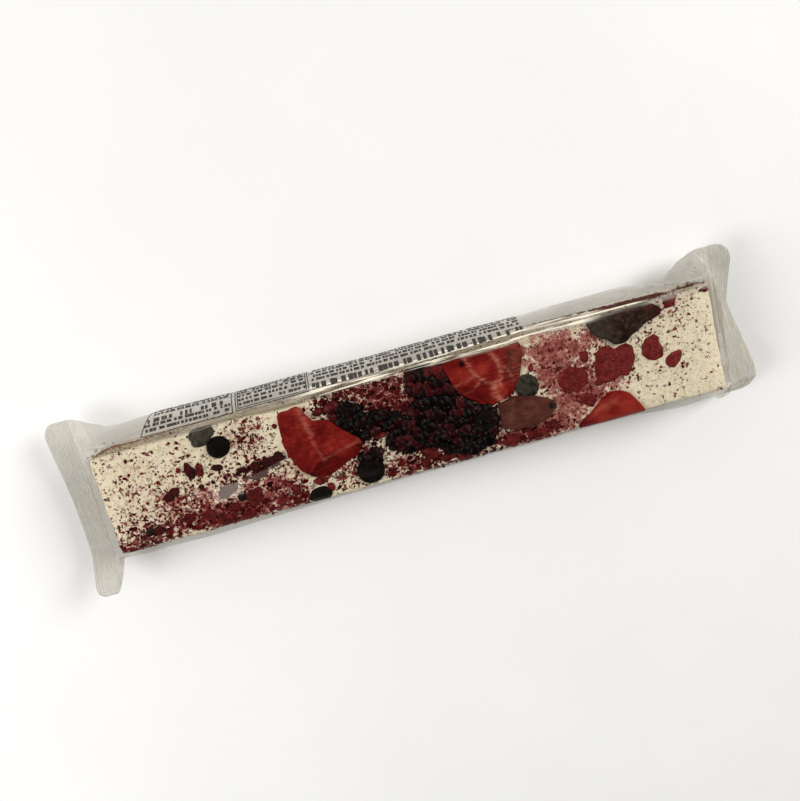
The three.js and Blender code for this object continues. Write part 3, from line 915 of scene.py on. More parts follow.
# Each broken bit: place, length, width, turn in degrees, height over the nougat, and how dark it is.
RASPBERRY_BITS = [
    (57.4, 6.4, 3.6, 4.6, 20, 0.5, 0.46), (40.2, 7.2, 2.2, 3.4, 0, 0.6, 0.45),
    (55.6, -7.4, 7.0, 5.4, -30, 0.4, 0.5), (60, -3, 3.6, 3.2, 0, 0.5, 0.5),
    (-71.2, 4.3, 3.3, 6.2, 18, 1.2, 0.95), (-68.1, 3.8, 2.9, 5.8, -8, 1.1, 0.6),
    (-62.4, 3.1, 4.2, 2.8, -12, 1.0, 0.9), (-70.1, 9.3, 1.6, 1.4, 10, 0.8, 0.55),
    (-74.5, 5.4, 1.8, 2.2, -25, 0.7, 0.45), (-79, -1.6, 8.0, 4.2, 32, 0.35, 0.92),
    (-69, -1.5, 2.0, 2.6, 20, 0.8, 0.8), (-76, -10.3, 4.8, 4.0, 15, 1.0, 0.66),
    (-69.4, -11, 5.2, 4.4, 5, 1.0, 0.62), (-65, -14, 6.6, 4.4, 0, 1.0, 0.6),
    (-57, -14.2, 6.4, 4.0, 8, 1.0, 0.58), (-54, -9.4, 7.2, 6.6, 20, 1.2, 0.64),
    (-61, -10.6, 5.2, 4.2, -20, 1.0, 0.68), (-86, -11.6, 5.2, 3.4, 10, 0.9, 0.8),
    (-91, -12.4, 4.4, 2.2, 12, 0.8, 0.8), (-96, -15, 5.0, 1.8, -14, 0.7, 0.62),
    (-50.6, -2.4, 5.6, 3.4, -12, 1.0, 0.85), (-45, 0.4, 5.2, 3.8, 10, 1.2, 0.95),
    (-46, -13, 4.6, 3.4, 5, 0.9, 0.6), (-40.6, -10.6, 3.6, 4.0, 15, 1.0, 0.6),
    (-41.6, -14.2, 3.4, 3.0, 15, 0.9, 0.6), (-32.8, -9.8, 5.4, 3.7, 0, 1.2, 0.5),
    (-29.8, -12.8, 2.5, 3.7, 25, 1.0, 0.5), (-46.6, 12.1, 2.2, 2.0, 30, 0.8, 0.5),
    (-41.6, 11, 1.9, 2.0, 10, 0.8, 0.6), (-27.6, 11.6, 3.6, 3.6, 30, 1.4, 0.7),
    (-11, -0.6, 5.0, 2.7, 5, 1.4, 0.45), (-10, -13.4, 3.4, 3.0, 10, 0.9, 0.7),
    (3.4, -10.6, 5.8, 5.8, -30, 1.2, 0.66), (1, -13.4, 4.4, 3.6, 30, 1.0, 0.8),
    (8.2, -13.4, 5.0, 3.6, 15, 1.0, 0.66), (13.4, -14.7, 6.4, 2.8, 5, 0.9, 0.64),
    (29, -13.6, 8.0, 4.4, -5, 1.1, 0.58), (37.4, -13.8, 9.0, 4.0, 2, 0.9, 0.64),
    (42.6, -12.2, 5.4, 3.6, 10, 1.0, 0.66), (-14, 4.4, 3.0, 2.6, 20, 1.5, 0.8),
    (12.7, -2, 2.6, 1.7, -10, 1.5, 0.3), (10.6, 15.4, 4.0, 2.8, 0, 1.0, 0.7),
    (28.2, -6.2, 2.6, 4.4, -12, 1.2, 0.6), (-86.7, -2.1, 1.6, 1.4, 0, 0.7, 0.4),
    (-61.6, -4.6, 10, 5, 16, 0.5, 0.8), (-51, -2.6, 9, 3, 4, 0.6, 0.78),
    (-43.2, 1.4, 3.8, 5.0, 30, 1.6, 1.0), (-47.2, 0.6, 4.4, 3.6, -25, 1.4, 1.1),
    (-51.0, 0.4, 4.2, 3.4, -15, 1.5, 0.95),
]
BIT_HEIGHT = 0.7
HALF_UNEVEN = 0.06
BIT_UNEVEN = 0.2
RASPBERRY_SLUMP = 0.22
DRUPELET_BUMP = 0.3
BROKEN_GRAIN = 0.08
RASPBERRY_SEED = 5
RASPBERRY_TONES = [(0.0, (26, 3, 4)), (0.2, (76, 11, 12)), (0.45, (104, 28, 28)), (0.8, (138, 50, 46))]
RASPBERRY_POWDER = (164, 92, 86)
RASPBERRY_VEIL = 0.06


def broken_outline(length, width, turn, draw):
    corners = int(draw.integers(6, 10))
    angles = (np.arange(corners) + draw.uniform(-0.3, 0.3, corners)) * 2 * math.pi / corners
    reach = draw.uniform(0.74, 1.12, corners) / 2
    return turned(length * reach * np.cos(angles), width * reach * np.sin(angles), turn)


def knobbly(place, reach, height):
    """A low crown with the bumps of drupelets and a broken grain."""
    def at(x, y):
        away = np.hypot(x - place[0], y - place[1]) / reach
        spot = np.stack([x.ravel(), y.ravel(), np.zeros(x.size)], axis=1)
        bumps = np.array([noise.voronoi(Vector(point) / 1.9)[0][0] for point in spot]).reshape(x.shape)
        grain = wave_over(x, y, 0.6)
        crown = height * (1 - RASPBERRY_SLUMP * away ** 2)
        return crown + DRUPELET_BUMP * (0.35 - bumps) + BROKEN_GRAIN * grain
    return at


def raspberry_finish():
    material, tree, shader = new_finish("dried raspberry flesh")
    tone = plus(tree, -0.62, mottle(tree, 1.6, detail=6, roughness=0.7), 1.8)
    tone = plus(tree, tone, mottle(tree, 0.5, detail=4), 1.2)
    tone = sums(tree, "SUBTRACT", tone, value_on(tree, "darkness"))
    flesh = ramp(tree, tone, RASPBERRY_TONES)
    powder = level(tree, mottle(tree, 0.9, detail=6, roughness=0.75), 0.52, 0.74)
    powder = times(tree, powder, level(tree, value_on(tree, "darkness"), 0.75, 0.25))
    powder = plus(tree, RASPBERRY_VEIL, powder, 0.6)
    flesh = blend(tree, powder, flesh, paint(*RASPBERRY_POWDER))
    bumps = mottle(tree, 0.6, detail=5, roughness=0.65)
    dress(tree, shader, flesh, roughness=0.7, gloss=0.02, bumps=bumps, depth=0.3)
    return material


raspberry_solids = []
raspberry_darkness = []
raspberry_draw = np.random.default_rng(RASPBERRY_SEED)
raspberry_cuts = [(*half, HALF_UNEVEN) for half in RASPBERRY_HALVES]
for x, y, length, width, turn, height, darkness in RASPBERRY_BITS:
    outline = broken_outline(length, width, turn, raspberry_draw) + [x, y]
    raspberry_cuts.append((outline, (x, y), BIT_HEIGHT * height, darkness, BIT_UNEVEN))
for outline, middle, height, darkness, uneven in raspberry_cuts:
    reach = np.hypot(*(np.array(outline) - middle).T).max()
    solid = pressed_piece(
        outline, middle, knobbly(middle, reach, height), rim=min(1.1, reach / 3), crisp=2.0,
        steps=max(36, int(reach * 18)), rows=max(6, int(reach * 4)), uneven=uneven)
    raspberry_solids.append(solid)
    raspberry_darkness.append(np.full(len(solid[0]), darkness))
raspberries = new_piece("raspberry_pieces", *joined(raspberry_solids), raspberry_finish(),
                        {"darkness": np.concatenate(raspberry_darkness)})
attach(raspberries, "root")

# The pressed dark slice. Half of a large dark berry, laid cut face up against the bar's printed edge and
# flattened by the film: leathery brown-black flesh, wine red at its right, and painted grey at its left as
# a reflection of the film.
DARK_SLICE = {
    "outline": [
        (59.6, 16.8), (66, 17.4), (73, 17.5), (80, 17.7), (83.2, 15.8), (84.4, 14), (82.6, 12.6),
        (80.6, 12.2), (78, 11.6), (75.4, 9.6), (73.4, 9), (71.6, 7.4), (69.4, 7), (67.2, 7.4),
        (65.6, 9.4), (63, 10.8), (61, 12.8),
    ],
    "middle": (71.5, 13), "height": 1.6,
}
DARK_SLICE_TONES = [(0.28, (14, 8, 6)), (0.5, (44, 29, 23)), (0.72, (84, 62, 52))]
DARK_SLICE_WINE = (70, 24, 22)


def dark_slice_finish():
    material, tree, shader = new_finish("leathery dark fruit flesh")
    flesh = ramp(tree, mottle(tree, 2.0, detail=6, roughness=0.65), DARK_SLICE_TONES)
    # Painted reflection: the grey over the slice's left part stands for the film's mirrored light.
    bloom = times(tree, value_on(tree, "bloom"), level(tree, mottle(tree, 1.6, detail=4), 0.2, 0.6))
    flesh = blend(tree, bloom, flesh, paint(*BLOOM_AND_SHEEN_GREY))
    wine = times(tree, value_on(tree, "wine"), level(tree, mottle(tree, 1.4, detail=3), 0.3, 0.6))
    flesh = blend(tree, wine, flesh, paint(*DARK_SLICE_WINE))
    bumps = mottle(tree, 0.9, detail=5)
    dress(tree, shader, flesh, roughness=0.5, gloss=0.02, bumps=bumps, depth=0.3)
    return material


slice_points, slice_faces = pressed_piece(
    DARK_SLICE["outline"], DARK_SLICE["middle"], knobbly(DARK_SLICE["middle"], 13, DARK_SLICE["height"]),
    rim=1.0, crisp=2.4, steps=150, rows=30, uneven=0.02)
slice_wine = ease(slice_points[:, 0], 77, 82) + 0.25 * ease(slice_points[:, 1], 14, 17)
# Painted reflection: grey over the slice's left part.
slice_sheen = 0.75 * ease(-slice_points[:, 0], -70, -62)
slice_values = {"wine": slice_wine, "bloom": slice_sheen}
dark_slice = new_piece("dark_slice", slice_points, slice_faces, dark_slice_finish(), slice_values)
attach(dark_slice, "root")

# The crumbs. Fruit broken fine and sprinkled over the nougat before it set: red grains and flakes lie thick
# along one side and round the fruit, and dark specks thinly over the rest and down the cut sides.
# Each sprinkling: what says how thick it lies, its smallest and largest crumb, how many lie on a square
# millimetre, how fast they thin out, and a seed.
CRUMBS = {
    "fine_fruit_crumbs": ("fruit_dust", 0.25, 1.0, 3.2, 2.0, 21),
    "coarse_fruit_crumbs": ("fruit_chunks", 0.8, 2.4, 0.85, 2.6, 22),
    "dark_specks": ("open_cream", 0.25, 1.1, 0.3, 1, 23),
    "crumbs_on_brambles": ("strewn", 0.25, 1.1, 0.5, 1, 25),
}
PER_SQUARE_METRE = 1.0e6
CRUMB_TONES = [
    (0.0, (20, 3, 4)), (0.2, (54, 6, 9)), (0.5, (88, 12, 16)), (0.8, (112, 24, 27)), (1.0, (156, 84, 78)),
]
CRUMB_DARK = (16, 4, 4)
SPECK_TONES = [(0.0, (48, 10, 7)), (0.3, (90, 15, 12)), (0.75, (132, 30, 25)), (1.0, (160, 108, 78))]


def crumb_tree(name, material, cover, sunk):
    """Crumbs strewn over a piece where its cover is thick, none on its underside."""
    tree, start, end = geometry_tree(name, ["Smallest", "Largest", "Density", "Power", "Seed"])
    thick = add_node(tree, "GeometryNodeInputNamedAttribute", {"Name": cover}, data_type="FLOAT")
    amount = sums(tree, "POWER", thick.outputs["Attribute"], start["Power"])
    amount = times(tree, amount, start["Density"])
    place = add_node(tree, "GeometryNodeInputPosition").outputs["Position"]
    clump = add_node(tree, "ShaderNodeTexNoise", {"Vector": place, "Scale": 260.0, "Detail": 2.0})
    gather = add_node(tree, "ShaderNodeMapRange", {
        "Value": clump.outputs["Fac"], "From Min": 0.35, "From Max": 0.65, "To Min": 0.25, "To Max": 1.7})
    spread = add_node(tree, "GeometryNodeDistributePointsOnFaces", {
        "Mesh": start["Geometry"], "Selection": facing_above(tree, -0.2), "Seed": start["Seed"],
        "Density": times(tree, amount, gather.outputs["Result"]),
    })
    inward = vectors(tree, "SCALE", {0: spread.outputs["Normal"], "Scale": -sunk * MM})
    spots = add_node(tree, "GeometryNodeSetPosition", {
        "Geometry": spread.outputs["Points"], "Offset": inward})
    chance = sums(tree, "POWER", random_between(tree, 0.0, 1.0, 31), 2.2)
    size = add_node(tree, "ShaderNodeMapRange", {
        "Value": chance, "To Min": start["Smallest"], "To Max": start["Largest"]}).outputs["Result"]
    width = times(tree, size, random_between(tree, 0.4, 0.9, 32))
    height = times(tree, size, random_between(tree, 0.25, 0.5, 33))
    tumble = add_node(tree, "FunctionNodeRandomValue", {
        0: (-0.5, -0.5, 0.0), 1: (0.5, 0.5, 2 * math.pi), "Seed": 34}, data_type="FLOAT_VECTOR")
    tumbled = add_node(tree, "FunctionNodeEulerToRotation", {"Euler": tumble.outputs[0]})
    lying = add_node(tree, "FunctionNodeRotateRotation", {
        "Rotation": spread.outputs["Rotation"], "Rotate By": tumbled.outputs["Rotation"],
    }, rotation_space="LOCAL")
    grain = add_node(tree, "GeometryNodeMeshIcoSphere", {"Radius": 0.5, "Subdivisions": 1})
    laid = add_node(tree, "GeometryNodeInstanceOnPoints", {
        "Points": spots.outputs["Geometry"], "Instance": grain.outputs["Mesh"],
        "Rotation": lying.outputs["Rotation"], "Scale": of_three(tree, size, width, height)})
    whole = toned(tree, laid.outputs["Instances"], "crumb_tone", 35)
    broken = roughened(tree, whole, fineness=1500.0, detail=1.0, depth=0.9)
    return end_tree(tree, end, broken, material)


def crumb_finish(name, tones):
    material, tree, shader = new_finish(name)
    tone = plus(tree, value_on(tree, "crumb_tone"), mottle(tree, 0.5, detail=3), 0.4)
    colour = ramp(tree, sums(tree, "SUBTRACT", tone, 0.2), tones)
    dark = times(tree, value_on(tree, "dark_dust"), 0.75)
    colour = blend(tree, dark, colour, paint(*CRUMB_DARK))
    bumps = mottle(tree, 0.3, detail=3)
    dress(tree, shader, colour, roughness=0.6, gloss=0.02, bumps=bumps, depth=0.12)
    return material


def sprinkled(name, carrier, material, sprinkling, sunk=0.0):
    cover, smallest, largest, density, power, seed = sprinkling
    return grown(name, carrier, crumb_tree(name, material, cover, sunk), {
        "Smallest": smallest * MM, "Largest": largest * MM, "Density": density * PER_SQUARE_METRE,
        "Power": power, "Seed": seed})


crumb_skin = crumb_finish("dry red fruit crumbs", CRUMB_TONES)
speck_skin = crumb_finish("dark fruit specks", SPECK_TONES)
for crumb_name, sprinkling in CRUMBS.items():
    carrier = brambles if crumb_name == "crumbs_on_brambles" else nougat
    skin = speck_skin if crumb_name == "dark_specks" else crumb_skin
    crumbs = sprinkled(crumb_name, carrier, skin, sprinkling)
    pressed_under_film(crumbs)
    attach(crumbs, "root")

# The film. One sheet of clear, glossy plastic film closed into a loose tube round the bar, and pressed flat
# between ribbed jaws at each end, so that the crimped seals stand out past the bar's sides as ears.
PRINTED_SIDE_REACH = 23.2
PRINTED_SIDE_SWELLS = [(-75, 15, 0.7), (86, 6, -2.3)]
PLAIN_SIDE_REACH = 17.6
PLAIN_SIDE_SWELLS = [(-75, 36, 2.1), (88, 13, 2.5)]
END_SLOPE = 5.5
SEAL_DEPTH = 8
SEAL_RIBS = 8
SEAL_RIB_HEIGHT = 0.03
SEAL_THICKNESS = 0.2
EAR_FOLD = 17
FILM_CORNER_SHARE = 0.5
SEALS = {
    "left": {
        "droop": {"angle": 15, "at": -4, "reach": 27, "sharpness": 2},
        "plain": {"half": 30.3, "corner": 3.5, "from": 2, "to": 6.5, "turn": 24},
        "printed": {"half": 29.1, "corner": 4, "from": -9, "to": 6, "turn": -3},
    },
    "right": {
        "droop": {"angle": 40, "at": 8, "reach": 21, "sharpness": 1.3},
        "plain": {"half": 27, "corner": 3, "from": -4, "to": 5.5, "turn": -56},
        "printed": {"half": 28.6, "corner": 7, "from": -14, "to": 3, "turn": 0},
    },
}
FILM_WAVES = [(0.14, 15), (0.03, 6)]
LOOSE_WAVE = 0.3
SEAL_CALM = 0.75
# Creases: both ends as (along the bar, round the film from the middle of the top), height and width.
CREASES = [
    ((-100, 17.5), (-60, 18.6), 0.35, 0.7), ((-84, 17.2), (-30, 19.2), 0.25, 0.6),
    ((-30, 19.5), (10, 18.2), 0.4, 0.7), ((5, 18.6), (60, 20.0), 0.35, 0.7),
    ((45, 20.5), (84, 19.6), 0.4, 0.8), ((60, 19.2), (99, 20.4), 0.3, 0.6),
    ((84, 24.5), (97, 18.5), 0.7, 1.0), ((83, 25), (88, 31), 0.6, 1.0), ((-103, 20), (-92, 25), 0.5, 1.0),
    ((-104, 21), (-96, 29), 0.4, 0.9), ((95, 30), (103, 24), 0.4, 0.8), ((94, 26), (100, 30), 0.4, 0.8),
    ((-97, -15), (-88, -22), 0.4, 0.9), ((92, -16), (98, -22), 0.4, 0.9),
    ((-98, 10), (-80, 13), 0.2, 0.8), ((-99, -2), (-86, -4), 0.15, 0.8), ((98, 3), (86, 6), 0.15, 0.8),
    ((98, -9), (84, -11), 0.18, 0.8), ((97, 22), (104, 27), 0.4, 0.7), ((99, 15), (105.5, 19), 0.35, 0.7),
    ((99, -6), (105, -9), 0.3, 0.7), ((99.5, -12), (105.5, -17), 0.35, 0.7),
    ((-99.5, 8), (-105, 11), 0.3, 0.7), ((-99.5, -8), (-105, -12), 0.3, 0.7),
]
# Lines of fruit dust in the fold along the printed side, and a painted highlight along a crease there:
# places along the bar and round the film, and how strong the line is there.
DIRT_LINES = [
    [(-98, 16.8, 0.1), (-92, 18.6, 0.7), (-84, 18.3, 0.5), (-70, 18.5, 0.0), (-54, 19.3, 0.1)],
    [
        (36, 21.4, 0.0), (54, 20.4, 0.2), (64, 20, 0.5), (69, 19.4, 1.1), (83, 19.3, 1.0), (88, 19.4, 0.3),
        (99, 19.2, 0.3),
    ],
]
HIGHLIGHT_CREASE = [(36, 19.6, 0.3), (54, 19.0, 0.7), (60, 18.8, 1.0), (76, 18.7, 1.0), (80, 18.6, 0.2)]
# Where the film is drawn tight over the fruit and lies flat: place along and round the film, and its reach.
TAUT_SPOTS = [(-64, 14.5, 9), (-58, -3.6, 17), (33, 3, 18), (66, 12.5, 12)]
# Bands round the film: where each starts, is full, begins to fade and ends.
PRINTED_FOLD = (16, 17.2, 19.5, 22)
BELOW_PRINTED_FOLD = (19.5, 20.5, 23, 28)
PLAIN_FOLD = (15.2, 17, 18.5, 21)
FILM_TINT = (0.93, 0.925, 0.91, 1.0)
FILM_HAZE_COLOUR = (190, 186, 174)
FILM_DUST_COLOUR = (66, 26, 22)
# Painted shade: the brown of the shade lines along the printed fold.
FILM_FOLD_SHADE_BROWN = (124, 96, 72)
# Painted highlight: the near-white of the fold, crease and end-slope lines.
FILM_HIGHLIGHT_COLOUR = (250, 241, 222)
FILM_HAZE = 0.30
CRIMP_HAZE = 0.12
# How much the film mirrors face on, and how much more edge on.
FILM_MIRROR = 0.065
FILM_EDGE_MIRROR = 0.85
# How thick haze, ribs, the painted highlight and shade lines on the folds, and crumbs show on each part of
# the film.
PRINTED_WALL_HAZE = 0.75
PRINTED_RIGHT_HAZE = 1.4
PLAIN_WALL_HAZE = 0.06
PLAIN_LEFT_HAZE = 0.14
PLAIN_FOOT_HAZE = 0.25
PAST_END_HAZE = 0.9
RIGHT_CRIMP_SHARE = 0.3
PLAIN_FOLD_DULL = 0.75
END_FOLD_HIGHLIGHT = 0.4
LEFT_END_SHARE = 0.4
FOLD_HIGHLIGHT_LEAST = 0.25
FOLD_SHADE_LEAST = 0.15
FOLD_SHADE_LEFT = 0.55
FOLD_CRUMB_AMOUNT = 0.16
BELOW_FOLD_AMOUNT = 0.08


def side_reach(x, side):
    printed = PRINTED_SIDE_REACH + sum(out * hump(x - at, reach) for at, reach, out in PRINTED_SIDE_SWELLS)
    plain = PLAIN_SIDE_REACH + sum(out * hump(x - at, reach) for at, reach, out in PLAIN_SIDE_SWELLS)
    return np.where(side > 0, printed, plain)


def of_ear(name, x, side):
    left = np.where(side > 0, SEALS["left"]["printed"][name], SEALS["left"]["plain"][name])
    right = np.where(side > 0, SEALS["right"]["printed"][name], SEALS["right"]["plain"][name])
    return np.where(x < 0, left, right)


def of_droop(name, x):
    return np.where(x < 0, SEALS["left"]["droop"][name], SEALS["right"]["droop"][name])


def film_rings(x, lanes):
    """The film's points: a flat-topped tube over the bar that closes into a flat seal beyond each end."""
    face, side, wall, across = lanes
    x = x[:, None]
    beyond = np.abs(x) - BAR_LENGTH / 2
    mid = PACK_HEIGHT / 2
    seal_end = END_SLOPE + SEAL_DEPTH
    closing = ease(beyond, 0, END_SLOPE)
    seal_up = np.where(beyond >= seal_end - 1e-6, 0, SEAL_THICKNESS / 2)
    edge = bar_edge(x, across)
    turn = np.maximum(0, 1 - wall / FILM_CORNER_SHARE) * math.pi / 2
    straight = np.minimum(1, (1 - wall) / (1 - FILM_CORNER_SHARE))
    rise = straight * (mid - FILM_EDGE_RADIUS) + FILM_EDGE_RADIUS * np.sin(turn)
    bulge = (side_reach(x, side) - edge) * (1 - (rise / mid) ** 2)
    wall_out = edge - FILM_EDGE_RADIUS * (1 - np.cos(turn)) + bulge
    corner = of_ear("corner", x, side)
    into_corner = np.clip(beyond - (seal_end - corner), 0, corner)
    half = of_ear("half", x, side) - corner + np.sqrt(corner ** 2 - into_corner ** 2)
    seal_out = edge - FILM_EDGE_RADIUS + (half - edge + FILM_EDGE_RADIUS) * wall
    start, stop = of_ear("from", x, across), of_ear("to", x, across)
    spread = ease(beyond, start, stop)
    on_wall = side * (wall_out + (seal_out - wall_out) * spread)
    flat_y = np.where(side == 0, across * (edge - FILM_EDGE_RADIUS), on_wall)
    up = np.where(wall == 1, 0, np.where(side == 0, mid, rise) * (1 - closing) + seal_up * closing)
    ribs = np.cos(2 * math.pi * (beyond - END_SLOPE) / SEAL_DEPTH * SEAL_RIBS) * SEAL_RIB_HEIGHT / 2
    up = face * up - ribs * ease(beyond, END_SLOPE - 0.4, END_SLOPE + 0.8)
    out = np.maximum(0, np.abs(flat_y) - EAR_FOLD)
    bend = np.radians(of_ear("turn", x, across)) * spread * (out > 0)
    y = np.sign(flat_y) * (np.minimum(np.abs(flat_y), EAR_FOLD) + out * np.cos(bend))
    lift = out * np.sin(bend)
    away = np.abs(flat_y - of_droop("at", x)) / of_droop("reach", x)
    droop = np.radians(of_droop("angle", x)) * np.maximum(0, 1 - away ** of_droop("sharpness", x))
    bent = droop * np.clip(beyond / END_SLOPE, 0, 1)
    sloped = np.clip(beyond, 0, END_SLOPE)
    sealed = np.maximum(0, beyond - END_SLOPE)
    past = sloped * np.cos(bent / 2) + sealed * np.cos(droop) + up * np.sin(bent)
    down = sloped * np.sin(bent / 2) + sealed * np.sin(droop) - up * np.cos(bent)
    over = film_over(x + 0 * flat_y, np.clip(flat_y, -edge + FILM_EDGE_RADIUS, edge - FILM_EDGE_RADIUS))
    over = (over - PACK_HEIGHT) * ((face > 0) & (side == 0) & (beyond < 0))
    body_z = mid + up + lift + over
    points_x = np.where(beyond <= 0, x, np.sign(x) * (BAR_LENGTH / 2 + past))
    points_z = np.where(beyond <= 0, body_z, mid - down + lift)
    return np.stack([points_x, y, points_z], axis=-1)


def span_round(rings):
    """Distance round the film from the middle of the top, positive towards the printed side."""
    count = rings.shape[1]
    quarter = count // 4
    order = np.roll(np.arange(count), quarter)
    ordered = rings[:, order]
    steps = np.linalg.norm(np.diff(ordered, axis=1), axis=2)
    along = np.concatenate([np.zeros((rings.shape[0], 1)), np.cumsum(steps, axis=1)], axis=1)
    top = int(np.where(order == quarter)[0][0])
    span = np.empty_like(along)
    span[:, order] = along[:, top:top + 1] - along
    return span


def ring_normals(rings):
    along = np.gradient(rings, axis=0)
    round_film = np.roll(rings, -1, axis=1) - np.roll(rings, 1, axis=1)
    outward = np.cross(round_film, along)
    return outward / np.maximum(np.linalg.norm(outward, axis=2, keepdims=True), 1e-9)


def creased(rings, x, span):
    """The film after its handling: soft waves all over, and creases where it was folded and pulled."""
    lift = np.zeros(span.shape)
    film_x = x[:, None] + 0 * span
    loose_share = np.ones(span.shape)
    for place_x, place_span, reach in TAUT_SPOTS:
        loose_share *= 1 - hump(np.hypot(film_x - place_x, span - place_span) ** 2, reach ** 2)
    for amount, size in FILM_WAVES:
        lift += amount * loose_share * wave_over(film_x, span, size, 5)
    for start, stop, height, width in CREASES:
        distance = line_distance(film_x, span, [start, stop])
        lift += height * hump(distance, width)
    loose = ease(np.abs(span), 14, 19)
    lift += loose * LOOSE_WAVE * wave_over(0.5 * film_x, span, 7, 9)
    beyond = np.abs(film_x) - BAR_LENGTH / 2
    calm = fading(beyond, SEAL_CALM, END_SLOPE - 1, END_SLOPE + 1)
    calm = calm * (1 - ease(beyond, END_SLOPE + SEAL_DEPTH - 1.5, END_SLOPE + SEAL_DEPTH - 0.1))
    under = rings[..., 2] < 1.0
    return rings + ring_normals(rings) * (lift * calm * ~under)[..., None]


def film_finish():
    material, tree = bare_finish("clear glossy film")
    clear = add_node(tree, "ShaderNodeBsdfTransparent", {"Color": FILM_TINT})
    ragged = plus(tree, -1.5, mottle(tree, 1.3, detail=6, roughness=0.8), 3.0)
    from_dirt = sums(tree, "ABSOLUTE", value_on(tree, "dirt_away"), 0.0)
    from_dirt = plus(tree, sums(tree, "ADD", from_dirt, ragged), value_on(tree, "dirt_amount"), -0.6)
    overlay_share = level(tree, from_dirt, 0.2, 0.0)
    # Painted shade: dark lines along the printed fold, laid over the real dust lines.
    shade_lines = level(tree, mottle(tree, 0.8, detail=2, stretch=(0.05, 1, 1)), 0.55, 0.66)
    overlay_share = sums(tree, "MAXIMUM", overlay_share, times(tree, value_on(tree, "fold_shade"), shade_lines))
    # Painted highlights: light lines along the printed fold, a bright line along one crease, and lines on
    # the end slopes.
    highlight_lines = mottle(tree, 0.9, detail=2, stretch=(0.05, 1, 1), turn=(0, 0, 0.04))
    highlight_lines = times(tree, value_on(tree, "fold_highlight"), level(tree, highlight_lines, 0.43, 0.6))
    from_crease = sums(tree, "ABSOLUTE", value_on(tree, "crease_away"), 0.0)
    crease_highlight = times(tree, level(tree, from_crease, 0.34, 0.12), value_on(tree, "crease_amount"))
    highlight_lines = sums(tree, "MAXIMUM", highlight_lines, crease_highlight)
    end_highlight_lines = mottle(tree, 0.9, detail=3, stretch=(1, 0.05, 0.3), turn=(0, 0, 0.12))
    end_highlight_lines = times(tree, value_on(tree, "end_fold_highlight"), level(tree, end_highlight_lines, 0.48, 0.62))
    highlight_lines = sums(tree, "MAXIMUM", highlight_lines, end_highlight_lines)
    overlay_share = times(tree, overlay_share, sums(tree, "SUBTRACT", 1.0, crease_highlight))
    colour = blend(tree, highlight_lines, paint(*FILM_HAZE_COLOUR), paint(*FILM_HIGHLIGHT_COLOUR))
    # Overlay colour: dark red where fruit dust lies, turning brown as painted shade where the fold shade
    # lies.
    overlay_colour = blend(tree, value_on(tree, "fold_shade"), paint(*FILM_DUST_COLOUR), paint(*FILM_FOLD_SHADE_BROWN))
    colour = blend(tree, overlay_share, colour, overlay_colour)
    haze = add_node(tree, "ShaderNodeBsdfDiffuse", {"Color": colour, "Roughness": 0.5})
    gloss = add_node(tree, "ShaderNodeBsdfGlossy", {"Color": (1, 1, 1, 1), "Roughness": 0.03})
    streaks = plus(tree, 0.7, mottle(tree, 4, detail=4, stretch=(0.4, 1, 1)), 0.6)
    cloudy = times(tree, value_on(tree, "haze"), times(tree, streaks, FILM_HAZE))
    cloudy = plus(tree, cloudy, value_on(tree, "crimp"), CRIMP_HAZE)
    cloudy = plus(tree, plus(tree, cloudy, highlight_lines, 0.9), overlay_share, 0.9)
    cloudy = sums(tree, "MINIMUM", cloudy, 0.95)
    body = add_node(tree, "ShaderNodeMixShader", {0: cloudy, 1: clear.outputs[0], 2: haze.outputs[0]})
    facing = add_node(tree, "ShaderNodeLayerWeight", {"Blend": 0.5}).outputs["Facing"]
    edge_on = sums(tree, "POWER", facing, 5.0)
    mirror = plus(tree, FILM_MIRROR, edge_on, FILM_EDGE_MIRROR)
    mirror = times(tree, mirror, plus(tree, 1.0, value_on(tree, "dull"), -1.0))
    mirror = times(tree, mirror, plus(tree, 1.0, overlay_share, -0.9))
    whole = add_node(tree, "ShaderNodeMixShader", {0: mirror, 1: body.outputs[0], 2: gloss.outputs[0]})
    output = add_node(tree, "ShaderNodeOutputMaterial")
    tree.links.new(whole.outputs[0], output.inputs["Surface"])
    return material


def band(value, start, full, fade, end):
    return ease(value, start, full) * (1 - ease(value, fade, end))


def film_stations():
    end = BAR_LENGTH / 2
    body = np.linspace(-end, end, 236)
    slope = end + np.linspace(0, END_SLOPE, 15)[1:]
    seal = end + END_SLOPE + np.linspace(0, SEAL_DEPTH, SEAL_RIBS * 7 + 1)[1:]
    past = np.concatenate([slope, seal])
    return np.concatenate([-past[::-1], body, past])


film_x = film_stations()
film_lanes = lanes_round(wall_steps=22, panel_steps=54)
smooth_film = film_rings(film_x, film_lanes)
film_span = span_round(smooth_film)
film_grid = creased(smooth_film, film_x, film_span)
film_used, film_faces = closed_tube(film_grid)
film_points = film_grid.reshape(-1, 3)[film_used]
film_points[:, 2] = np.maximum(film_points[:, 2], 0)
film_along = film_x[:, None] + 0 * film_span
film_beyond = np.abs(film_along) - BAR_LENGTH / 2
in_seal = ease(film_beyond, END_SLOPE - 1, END_SLOPE)
plain_haze = PLAIN_WALL_HAZE + PLAIN_LEFT_HAZE * ease(-film_along, 30, 60)
plain_haze = plain_haze + PLAIN_FOOT_HAZE * ease(-film_span, 20, 24)
on_wall = ease(np.abs(film_span), 16.5, 21) * np.where(film_span > 0, PRINTED_WALL_HAZE, plain_haze)
on_right = PRINTED_RIGHT_HAZE * ease(film_span, 19.6, 20.6) * ease(film_along, 42, 60)
on_wall = np.maximum(on_wall, on_right)
past_end = PAST_END_HAZE * ease(film_beyond, -1, 4)
film_haze = np.maximum(np.maximum(in_seal, on_wall), past_end)
rib_turns = 2 * math.pi * (film_beyond - END_SLOPE) / SEAL_DEPTH * SEAL_RIBS
